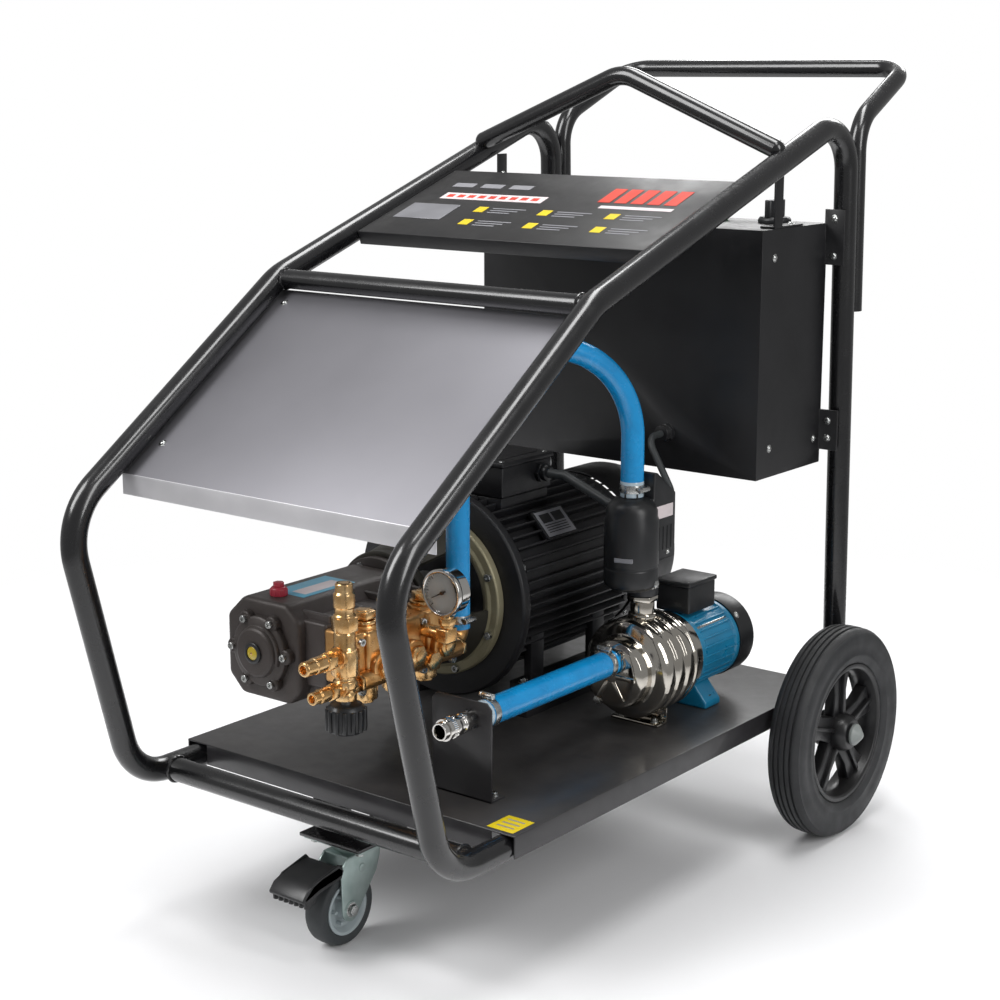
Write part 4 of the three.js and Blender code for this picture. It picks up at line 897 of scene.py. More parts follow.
    def build(self) -> None:
        """Builds every tube of the frame."""
        self.hoop(-1)
        self.hoop(1)
        self.cross_tubes()
        self.arch()
        self.handle()


@dataclass
class BaseTray:
    """The folded tray over the rails with what is welded and bolted to it."""

    sheet: float = 2.5
    top: float = 216.0
    lip: float = 30.0
    inner: float = 247.8
    rail_h: float = 30.0
    rail_w: float = 44.0

    def build(self) -> None:
        """Builds the tray, its pedestal for the caster and its corner label."""
        box = Span.of("base_tray")
        half, front, rear = box.high.x, box.low.y, box.high.y
        top = self.top
        under = top - self.lip
        t = self.sheet
        form = Form("base_tray_folded", TRAY_PAINT)
        channel = [(-half, under), (-half, top), (half, top), (half, under), (half - t, under),
                   (half - t, top - t), (t - half, top - t), (t - half, under)]
        form.plate(Plane.XZ, channel, front, rear, 1.1, steps=3)
        form.block((-self.inner, front, under), (self.inner, front + t, top - 0.4), 0.8)
        form.block((-self.inner, rear - t, under), (self.inner, rear, top - 0.4), 0.8)
        drive = Span.of("motor_flange").centre.x
        for x in (drive - MOTOR_FEET_X, drive + MOTOR_FEET_X):
            half_w = self.rail_w / 2
            rail = [(x - half_w, top - 1), (x - half_w, top + self.rail_h), (x + half_w, top + self.rail_h),
                    (x + half_w, top - 1)]
            form.plate(Plane.XZ, rail, -470, -230, 3.0)
        self.inlet_plate(form, top)
        form.use(BOLT_ZINC)
        for x in (drive - MOTOR_FEET_X, drive + MOTOR_FEET_X):
            for y in (-449, -251):
                form.hex_bolt((x, y, top + self.rail_h + 14.3), UP, 6.5, 5)
        for x, y in ((110, -741), (186, -741)):
            form.hex_bolt((x, y, top + 3), UP, 5.0, 3.5)
        form.piece("cart", "base_tray")
        pedestal = Form("caster_pedestal_welded", FRAME_PAINT)
        pedestal.node("caster_pedestal", 1.0).piece("cart", "caster_pedestal")
        label = Form("tray_corner_label", INK_YELLOW)
        label.block((half - 48, front + 6, top), (half - 8, front + 50, top + 0.4), 0.15)
        label.use(INK_GREY)
        for k in range(3):
            y = front + 16 + 11 * k
            label.block((half - 41, y, top + 0.3), (half - 15, y + 3, top + 0.6), 0.1)
        label.piece("cart")

    def inlet_plate(self, form: Form, top: float) -> None:
        """Adds the upright plate that holds the water inlet.

        Args:
            form: The form that gets it.
            top: Height of the tray's upper face.
        """
        line = Span.of("suction_hose").centre
        face = -759.0
        left, right, high = line.x - 62, line.x + 34, line.z + 26
        outline = [(left, top - 1), (right, top - 1), (right, high - 8), (right - 8, high), (left + 8, high),
                   (left, high - 8)]
        form.plate(Plane.XZ, outline, face, face + 3, 0.7)
        form.block((left, face, top - 1), (right, face + 28, top + 3), 1.0)


@dataclass
class RoadWheel:
    """One of the two rear wheels on the fixed axle."""

    side: int
    inner_x: float = 293.0
    width: float = 54.0
    radius: float = 157.5
    rim_r: float = 104.0
    spokes: int = 5

    def __post_init__(self) -> None:
        """Finds the middle of the wheel."""
        axle = Span.of("rear_axle").centre
        self.out = RIGHT * self.side
        self.centre = Vector((self.side * (self.inner_x + self.width / 2), axle.y, axle.z))
        self.name = "left" if self.side < 0 else "right"

    def tyre(self) -> None:
        """Builds the tyre with its grooved tread and ringed sidewalls."""
        r, half = self.radius, self.width / 2
        wall = [(104.3, 20), (108, 24.5), (114, 25.2), (116, 26.6), (119, 26.6), (121, 25.4), (131, 26.6),
                (139, 27), (146, 25.8), (149, 24.9), (151, 25.2), (154, 22), (156, 18.4), (r - 1, 16.6)]
        tread = [(r - 1, 15.0), (r - 3.6, 14.2), (r - 3.6, 11.8), (r - 0.6, 11.0), (r, 6.4), (r - 2.8, 5.7),
                 (r - 2.8, 3.5), (r, 2.8)]
        right = [(a, b * half / 27) for a, b in wall + tread]
        profile = right + [(a, -b) for a, b in reversed(right)]
        form = Form(f"{self.name}_tyre_grooved", TYRE_RUBBER)
        form.lathe(profile, self.centre, self.out, 112)
        form.piece(f"{self.name}_wheel", f"{self.name}_tyre", smooth=50)

    def rim(self) -> None:
        """Builds the moulded rim: a well, five ribbed spokes and a hub."""
        form = Form(f"{self.name}_rim_moulded", RIM_PLASTIC)
        well = [(self.rim_r, -22), (self.rim_r, 22), (99, 22), (96, 20), (94, 12), (91, 6), (91, -6),
                (94, -12), (96, -20), (99, -22)]
        form.lathe(well, self.centre, self.out, 96, 0.6)
        hub = [(10.3, -25), (24, -25), (27, -20), (29, -8), (29, 8), (27, 22), (22, 29.5), (10.3, 29.5)]
        form.lathe(hub, self.centre, self.out, 48, 1.0)
        for k in range(self.spokes):
            turn = Matrix.Translation(self.centre) @ Matrix.Rotation(2 * math.pi * k / self.spokes, 4, "X")
            arm = [(-20, 22), (-17, 60), (-25, 93), (25, 93), (17, 60), (20, 22)]
            form.plate(Plane.YZ, arm, -9, 9, 3.0, turn)
            form.plate(Plane.YZ, [(-3, 24), (-3, 90), (3, 90), (3, 24)], -15, 15, 2.0, turn)
        form.piece(f"{self.name}_wheel", f"{self.name}_rim")

    def build(self) -> None:
        """Builds the tyre and the rim."""
        self.tyre()
        self.rim()


@dataclass
class RearAxle:
    """The fixed axle with its two push-on caps."""

    radius: float = 10.0
    cap_r: float = 16.0

    def build(self) -> None:
        """Builds the axle and the caps."""
        box = Span.of("rear_axle")
        reach, middle = box.high.x, box.centre
        form = Form("rear_axle_capped", MACHINED_STEEL)
        form.rod(self.radius, 2 * reach - 12, (6 - reach, middle.y, middle.z), RIGHT, 32)
        form.use(HUB_CAP)
        cap = [(0, 0), (self.cap_r, 0), (self.cap_r, 4), (self.cap_r - 2, 6), (5, 13.5), (2.5, 15), (0, 15)]
        for side in (-1, 1):
            form.lathe(cap, (side * (reach - 15), middle.y, middle.z), RIGHT * side, 32, 0.5)
        form.piece("cart", "rear_axle")


@dataclass
class SwivelCaster:
    """The braked swivel caster under the front of the tray."""

    swivel_y: float = -802.0
    turned: float = 0.0
    trail: float = 30.0
    radius: float = 51.0
    width: float = 32.0
    top: float = 140.0

    def __post_init__(self) -> None:
        """Sets the axes that turn with the fork."""
        turn = Matrix.Rotation(math.radians(self.turned), 4, "Z")
        self.place = Matrix.Translation((0, self.swivel_y, 0)) @ turn
        self.hub = Vector((0, -self.trail, self.radius))
        self.gap = self.width / 2 + 3

    def plate(self) -> None:
        """Builds the top plate with its bolts and the ball-race housing."""
        form = Form("caster_plate_pressed", CASTER_ZINC)
        form.block((-50, self.swivel_y - 42, self.top - 4), (50, self.swivel_y + 42, self.top), 1.5)
        race = [(0, 0), (24, 0), (27, 2.5), (27, 6), (22, 8), (0, 8)]
        form.lathe(race, (0, self.swivel_y, self.top - 12), UP, 48, 0.4)
        form.use(BOLT_ZINC)
        for x in (-39, 39):
            for y in (-31, 31):
                form.hex_bolt((x, self.swivel_y + y, self.top - 4), DOWN, 6, 4)
        form.piece("cart", "caster_plate")

    def fork(self) -> None:
        """Builds the pressed fork with ribbed cheeks and the axle bolt."""
        top = self.top - 16
        form = Form("caster_fork_pressed", CASTER_ZINC, self.place)
        cheek = [*arc(-self.trail, self.radius, 16, 180, 340, 12), (20, top - 34), (27, top - 14), (28, top),
                 (-34, top), (-44, top - 10), (-47, top - 26)]
        for side in (-1, 1):
            inner, outer = side * self.gap, side * (self.gap + 3)
            form.plate(Plane.YZ, cheek, min(inner, outer), max(inner, outer), 1.2)
            rim = side * (self.gap + 3.2)
            form.lathe([(9, -1.2), (12, -1.2), (12, 0.8), (9, 0.8)], (rim, -self.trail, self.radius), RIGHT,
                       32, 0.4)
            form.rod(6, 1.8, (side * (self.gap + 2), -8, top - 22), RIGHT * side, 24, 0.6)
        form.block((-self.gap - 3, -34, top - 3), (self.gap + 3, 28, top), 1.2)
        form.rod(26, 3.6, (0, 0, top - 0.5), UP, 48, 0.8)
        form.piece("caster_swivel", "caster_fork")
        axle = Form("caster_axle_bolt", BOLT_ZINC, self.place)
        axle.rod(5, 2 * self.gap + 12, (-self.gap - 6, -self.trail, self.radius), RIGHT, 24)
        for side in (-1, 1):
            axle.hex_bolt((side * (self.gap + 3.4), -self.trail, self.radius), RIGHT * side, 8, 5)
        axle.piece("caster_swivel", "caster_axle")

    def wheel(self) -> None:
        """Builds the rubber tread and the grey hub."""
        r, half = self.radius, self.width / 2
        tread = [(36.4, half - 1), (42, half), (r - 6, half), (r - 2.5, half - 1.6), (r - 0.7, half - 5),
                 (r, half - 11)]
        profile = tread + [(a, -b) for a, b in reversed(tread)]
        form = Form("caster_tyre_moulded", CASTER_RUBBER, self.place)
        form.lathe(profile, self.hub, RIGHT, 72, 0.3)
        form.piece("caster_wheel", "caster_tyre", smooth=45)
        hub = Form("caster_hub_moulded", HUB_PLASTIC, self.place)
        face = [(5.4, half + 1), (11, half + 1), (13, half - 1), (14, 7), (20, 6), (27, 7), (30, half - 3),
                (32, half), (36, half)]
        ring = face + [(a, -b) for a, b in reversed(face)]
        hub.lathe(ring, self.hub, RIGHT, 64, 0.4)
        for spot in around(self.hub, 21, 6, "x"):
            hub.rod(2.4, half - 1, spot, RIGHT, 12, 0.3)
        hub.piece("caster_wheel", "caster_hub")

    def pedal(self) -> None:
        """Builds the brake pedal with its ribbed toe."""
        form = Form("caster_brake_pedal_moulded", BLACK_PLASTIC, self.place)
        hood = [(-51, 115), (-53, 108), (-64, 106), (-96, 102), (-119, 95), (-126, 93), (-128, 97),
                (-119, 108),
                (-106, 113), (-92, 117.5), (-60, 122)]
        form.plate(Plane.YZ, hood, -30, 30, 1.6, steps=3)
        for x in (-30, 27):
            form.plate(Plane.YZ, [(-53, 117), (-55, 105), (-94, 99), (-118, 90), (-124, 98), (-104, 115),
                                  (-60, 125)], x, x + 3, 0.9)
        for k in range(7):
            x = -28 + k * 9
            form.plate(Plane.YZ, [(-99, 103), (-123, 96), (-122, 85), (-117, 83), (-104, 88)], x, x + 3, 0.7)
        form.piece("caster_brake", "caster_brake_pedal")

    def build(self) -> None:
        """Builds every piece of the caster."""
        self.plate()
        self.fork()
        self.wheel()
        self.pedal()


@dataclass
class Covers:
    """The stainless front cover and the printed control panel on the slopes."""

    knee: tuple[float, float] = (-648.0, 838.0)
    nose: tuple[float, float] = (-1035.0, 567.0)
    top: tuple[float, float] = (-22.0, 1056.3)
    panel_low: float = -503.0
    sheet: float = 1.5

    def cover(self) -> None:
        """Builds the sloping cover, its folded lip in a lighter steel that paints a highlight, and its
        screws.
        """
        box = Span.of("front_cover")
        half = box.high.x
        slope = math.atan2(self.knee[1] - self.nose[1], self.knee[0] - self.nose[0])
        along = Vector((0, math.cos(slope), math.sin(slope)))
        normal = Vector((0, -along.z, along.y))
        low = Vector((0, box.low.y, box.low.z + 27))
        length = (box.high.y - box.low.y - self.sheet * along.z) / along.y - 0.5
        place = Matrix((
            (1, 0, 0, 0), (0, along.y, normal.y, low.y), (0, along.z, normal.z, low.z), (0, 0, 0, 1),
        ))
        form = Form("front_cover_sheet", COVER_STEEL, place)
        form.block((-half, 0.6, -self.sheet), (half, length, 0), 0.5)
        form.use(BOLT_ZINC)
        for x in (-half + 24, half - 24):
            for reach in (60, length - 26):
                form.pan_screw((x, reach, 0), UP, 4.2)
        form.piece("cart", "front_cover")
        # The lip takes the lighter copy of the cover steel: a painted highlight along the fold.
        lip = Form("front_cover_lip", LIP_STEEL_PAINTED_HIGHLIGHT)
        lip.block((-half, low.y, box.low.z), (half, low.y + self.sheet + 0.3, low.z + 0.6), 0.7, steps=3)
        lip.rod(1.9, 2 * half - 4, (-half + 2, low.y + 1.9, box.low.z + 1.9), RIGHT, 16, 0.3)
        lip.piece("cart")

    def panel(self) -> None:
        """Builds the panel and its generic print."""
        Form("control_panel_folded", SHEET_PAINT).node("control_panel", 1.0).piece("cart", "control_panel")
        slope = math.atan2(self.top[1] - self.knee[1], self.top[0] - self.knee[0])
        along = Vector((0, math.cos(slope), math.sin(slope)))
        normal = Vector((0, -along.z, along.y))
        low_z = self.knee[1] + (self.panel_low - self.knee[0]) * math.tan(slope)
        low = Vector((0, self.panel_low, low_z)) + normal * 4
        place = Matrix((
            (1, 0, 0, 0), (0, along.y, normal.y, low.y), (0, along.z, normal.z, low.z), (0, 0, 0, 1),
        ))
        form = Form("control_panel_print", INK_WHITE, place)
        self.mark(form, INK_WHITE, (-196, 128), (-14, 150))
        for k in range(9):
            self.mark(form, INK_RED, (-188 + 19 * k, 134), (-176 + 19 * k, 144), 0.5)
        for k in range(3):
            self.mark(form, INK_GREY, (-206 + 52 * k, 172), (-168 + 52 * k, 186))
        for k in range(5):
            self.mark(form, INK_RED, (74 + 27 * k, 142), (94 + 27 * k, 190))
        self.mark(form, INK_WHITE, (88, 122), (206, 131))
        self.mark(form, PLATE_SILVER, (-226, 56), (-140, 108))
        for row, high in enumerate((88, 44)):
            for column in range(3):
                left = -104 + 112 * column + 6 * row
                self.mark(form, INK_YELLOW, (left, high), (left + 17, high + 18))
                for line in range(3):
                    start = high + 13 - 7 * line
                    self.mark(form, INK_GREY, (left + 26, start), (left + 84 - 10 * line, start + 2.5))
        form.piece("cart")

    @staticmethod
    def mark(form: Form, ink: Finish, low: tuple[float, float], high: tuple[float, float],
             height: float = 0.3) -> None:
        """Prints one rectangle on the panel, from corner to corner along its slope.

        Args:
            form: The form that gets it.
            ink: Its finish.
            low: One corner.
            high: The opposite corner.
            height: Thickness of the ink.
        """
        form.use(ink)
        form.block((*low, -0.2), (*high, height), 0.1, steps=1)

    def build(self) -> None:
        """Builds the cover and the panel."""
        self.cover()
        self.panel()


@dataclass
class ControlBox:
    """The electric box between the rear legs, its buttons and its hangers."""

    screw_in: float = 22.0

    def build(self) -> None:
        """Builds the box, its back cover, hangers, screws and controls."""
        box = Span.of("box_back_cover")
        front = Span.of("control_box").low.y + 18
        form = Form("control_box_folded", SHEET_PAINT).node("control_box", 1.6)
        form.use(BOLT_ZINC)
        half, top, low = box.high.x + 1, box.high.z + 1, box.low.z + 1
        for side in (-1, 1):
            for y, z in ((front + 34, top - 40), (front + 34, low + 40), (box.low.y - 20, low + 36)):
                form.pan_screw((side * half, y, z), RIGHT * side, 4.6)
            for z in (low + 36, low + 62, top - 47, top + 7):
                form.pan_screw((side * (half + 14), box.low.y - 4.3, z), FRONT, 4.4)
        form.use(BLACK_PLASTIC)
        form.rod(14, 9, (96, front - 9.5, 600), BACK, 6, 0.8)
        form.piece("cart", "control_box")
        back = Form("box_back_cover_sheet", SHEET_PAINT).node("box_back_cover", 0.6)
        back.use(BOLT_ZINC)
        for x in (-half + self.screw_in, 0, half - self.screw_in):
            for z in (low + 18, top - 18):
                back.pan_screw((x, box.high.y, z), BACK, 4.2)
        back.piece("cart", "box_back_cover")
        for name, side in (("box_hanger_left", -1), ("box_hanger_right", 1)):
            hanger = Form(f"{name}_bracket", SHEET_PAINT).node(name, 0.8)
            hanger.use(BOLT_ZINC)
            foot = Span.of(name)
            hanger.pan_screw((foot.centre.x, foot.high.y - 16, foot.low.z + 3), UP, 4.5)
            for z in (foot.low.z + 26, foot.low.z + 60):
                hanger.pan_screw((side * (half - 4.2), -175, z), LEFT * side, 4.0)
            hanger.piece("cart", name)
        self.button("start_button", START_GREEN, "start", 6)
        self.button("stop_button", STOP_RED, "stop", 10)
        self.knob()

    def button(self, node: str, finish: Finish, body: str, head: float) -> None:
        """Builds a push button with a domed head.

        Args:
            node: The node it replaces.
            finish: Its finish.
            body: The body it rides on.
            head: Height of its head.
        """
        box = Span.of(node)
        at = (box.centre.x, box.centre.y, box.low.z)
        height = box.high.z - box.low.z
        form = Form(f"{node}_moulded", finish)
        stem = height - head
        form.lathe([(0, 0), (10, 0), (10, stem), (13, stem), (13, height - 1.5), (11, height),
                    (6, height - 0.8),
                    (0, height - 1.0)], at, UP, 40, 0.3)
        form.piece(body, node)

    def knob(self) -> None:
        """Builds the main switch knob with its grip bar."""
        box = Span.of("main_switch_knob")
        at = Vector((box.centre.x, box.centre.y, box.low.z))
        form = Form("main_switch_knob_moulded", BLACK_PLASTIC)
        form.lathe([(0, 0), (24, 0), (24, 5), (21, 9), (0, 9)], at, UP, 48, 0.8)
        grip = [*arc(0, 17, 6, 0, 180, 10), *arc(0, -17, 6, 180, 360, 10)]
        form.plate(Plane.XY, grip, 8, 33.4, 1.6, Matrix.Translation(at), 3)
        form.use(INK_WHITE)
        form.block((-1, 8, 33.2), (1, 21, 34), 0.2, Matrix.Translation(at))
        form.piece("switch_knob", "main_switch_knob")


# ---------------------------------------------------------------- the drive line


class DriveLine:
    """What lies along the axis that the motor and the pump share."""

    def __post_init__(self) -> None:
        """Finds the drive axis."""
        self.axis = Span.of("motor_flange").centre

    def on_axis(self, y: float) -> Vector:
        """A point of the drive axis.

        Args:
            y: The place along the axis.

        Returns:
            The point.
        """
        return Vector((self.axis.x, y, self.axis.z))


@dataclass
class DriveMotor(DriveLine):
    """The finned flange motor, its fan cowl and terminal box."""

    root_r: float = 117.0
    fin_r: float = 130.0
    fins: int = 48
    fin_t: float = 3.4
    cowl_r: float = 124.0
    front: float = -475.0
    rear: float = -215.0

    def __post_init__(self) -> None:
        """Finds the drive axis and the flange face."""
        super().__post_init__()
        self.face = Span.of("motor_flange").low.y

    def housing(self) -> None:
        """Builds the finned barrel with its feet, terminal pad, nameplate and lifting eye."""
        form = Form("motor_housing_finned", MOTOR_PAINT)
        length = self.rear - self.front
        barrel = [(62.5, 0), (self.root_r + 2, 0), (self.root_r + 2, 7), (self.root_r, 9),
                  (self.root_r, length - 9), (self.root_r + 2, length - 7), (self.root_r + 2, length),
                  (62.5, length)]
        form.lathe(barrel, self.on_axis(self.front), BACK, 72)
        for k in range(self.fins):
            angle = 2 * math.pi * (k + 0.5) / self.fins
            turn = Matrix.Translation(self.on_axis(0)) @ Matrix.Rotation(angle, 4, "Y")
            half = self.fin_t / 2
            form.block((-half, self.front + 3, self.root_r - 3), (half, self.rear - 3, self.fin_r - 0.3),
                       0.9, turn)
        low = Span.of("motor_housing").low.z
        for side in (-1, 1):
            x = self.axis.x + side * MOTOR_FEET_X
            form.block((x - 22, -455, low), (x + 22, -245, low + 14), 2.5)
            for y in (-425, -275):
                form.block((x - 7, y - 15, low + 8), (x + 7, y + 15, self.axis.z - 60), 2.0)
        pad = self.axis.z + self.fin_r
        form.block((self.axis.x - 52, -440, pad - 26), (self.axis.x + 52, -330, pad), 2.0)
        form.use(MACHINED_STEEL)
        eye = Vector((self.axis.x, -272, pad + 22))
        form.lathe([(11 + 4.5 * math.cos(a), 4.5 * math.sin(a)) for a in
                    [2 * math.pi * k / 12 for k in range(12)]], eye, BACK, 32)
        form.rod(7, 16, (eye.x, eye.y, pad - 8), UP, 24)
        form.piece("cart", "motor_housing")
        self.nameplate()

    def nameplate(self) -> None:
        """Builds the data plate on the side of the barrel, without lettering."""
        turn = Matrix.Translation(self.on_axis(0)) @ Matrix.Rotation(math.radians(46), 4, "Y")
        r = self.fin_r
        plate = Form("motor_data_plate", MOTOR_PAINT, turn)
        plate.block((-24, -404, r - 8), (24, -332, r + 0.4), 1.5)
        plate.use(PLATE_SILVER)
        plate.block((-21, -400, r), (21, -336, r + 1.2), 0.5)
        plate.use(SHEET_PAINT)
        plate.block((-16, -394, r + 0.9), (-1, -371, r + 1.5), 0.2)
        plate.block((-16, -366, r + 0.9), (-1, -343, r + 1.5), 0.2)
        for k in range(4):
            plate.block((2 + 4 * k, -394, r + 0.9), (3.4 + 4 * k, -344, r + 1.5), 0.2)
        plate.piece("cart")

    def ends(self) -> None:
        """Builds the flange, the rear shield and the fan cowl with its grille."""
        front = Form("motor_flange_turned", MOTOR_PAINT)
        back = self.front - 0.3 - self.face
        ring = [(19.4, 0), (147, 0), (150, 3), (150, 15), (147, 18), (128, 20), (124, 24), (124, back),
                (70.5, back), (70.5, 26), (19.4, 26)]
        front.lathe(ring, self.on_axis(self.face), BACK, 96, 0.5)
        front.use(BOLT_ZINC)
        for spot in around(self.on_axis(self.face + 18.5), 139, 8, "y", 22.5):
            front.hex_bolt(spot, BACK, 6.5, 5)
        front.piece("cart", "motor_flange")
        shield = Form("motor_rear_shield_cast", MOTOR_PAINT)
        box = Span.of("motor_rear_shield")
        depth = box.high.y - box.low.y
        shape = [(19.4, 0), (70.3, 0), (70.3, depth - 25), (122, depth - 25), (122, depth - 4), (119, depth),
                 (19.4, depth)]
        shield.lathe(shape, self.on_axis(box.low.y), BACK, 80, 0.5)
        shield.piece("cart", "motor_rear_shield")
        cowl = Form("fan_cowl_pressed", MOTOR_PAINT)
        box = Span.of("fan_cowl")
        depth, r = box.high.y - box.low.y, self.cowl_r
        shell = [(r - 2, 0), (r, 0), (r, depth - 16), *[(r - 14 + 14 * math.cos(math.radians(a)),
                 depth - 15 + 14 * math.sin(math.radians(a))) for a in (30, 60)], (r - 14, depth),
                 (100, depth), (100, depth - 2), (r - 14, depth - 2), (r - 4, depth - 8), (r - 2, depth - 16)]
        cowl.lathe(shell, self.on_axis(box.low.y), BACK, 96, 0.3)
        for radius in (96, 86, 76, 66, 56, 47):
            cowl.lathe([(radius - 1.6, depth - 2.4), (radius + 1.6, depth - 2.4), (radius + 1.6, depth),
                        (radius - 1.6, depth)], self.on_axis(box.low.y), BACK, 64, 0.3)
        cowl.rod(44, 2.4, self.on_axis(box.high.y - 2.4), BACK, 64)
        for k in range(6):
            turn = Matrix.Translation(self.on_axis(0)) @ Matrix.Rotation(math.pi * k / 3, 4, "Y")
            cowl.block((40, box.high.y - 2.6, -4), (102, box.high.y - 0.2, 4), 0.4, turn)
        cowl.use(BOLT_ZINC)
        for k in range(4):
            turn = math.radians(45 + 90 * k)
            out = Vector((math.cos(turn), 0, math.sin(turn)))
            cowl.pan_screw(self.on_axis(box.low.y + 9) + out * (r - 0.4), out, 3.6)
        cowl.piece("cart", "fan_cowl")

    def inside(self) -> None:
        """Builds the rotor and the cooling fan."""
        rotor = Form("motor_rotor_turned", MACHINED_STEEL)
        rotor.node("motor_rotor", 0.6).piece("drive_shaft", "motor_rotor")
        Form("motor_fan_moulded", BLACK_PLASTIC).node("motor_fan", 0.6).piece("drive_shaft", "motor_fan")

    def terminal_box(self) -> None:
        """Builds the terminal box with its lid, screws and cable gland."""
        box = Span.of("terminal_box")
        low, high = box.low, box.high
        form = Form("terminal_box_cast", MOTOR_PAINT)
        x0, x1 = low.x, self.axis.x + 58
        form.plate(Plane.XY, [(x0 + 3, low.y + 3), (x1 - 3, low.y + 3), (x1 - 3, high.y - 3),
                              (x0 + 3, high.y - 3)],
                   low.z, high.z - 8, 3.0, steps=3)
        form.block((x0, low.y, high.z - 9.5), (x1, high.y, high.z - 1), 3.0, steps=3)
        form.block((x0 + 18, low.y + 18, high.z - 2), (x1 - 18, high.y - 18, high.z), 0.9)
        form.use(BOLT_ZINC)
        for x in (x0 + 10, x1 - 10):
            for y in (low.y + 10, high.y - 10):
                form.socket_bolt((x, y, high.z - 4.4), UP, 4.2, 4.2)
        form.use(BLACK_PLASTIC)
        gland = Vector((x1 - 4, -352, self.axis.z + self.fin_r + 26))
        form.rod(15, 8, gland, RIGHT, 6, 0.8)
        form.rod(12, high.x - gland.x - 8, gland + RIGHT * 8, RIGHT, 24, 2.0)
        form.piece("cart", "terminal_box")

    def build(self) -> None:
        """Builds every piece of the motor."""
        self.housing()
        self.ends()
        self.inside()
        self.terminal_box()


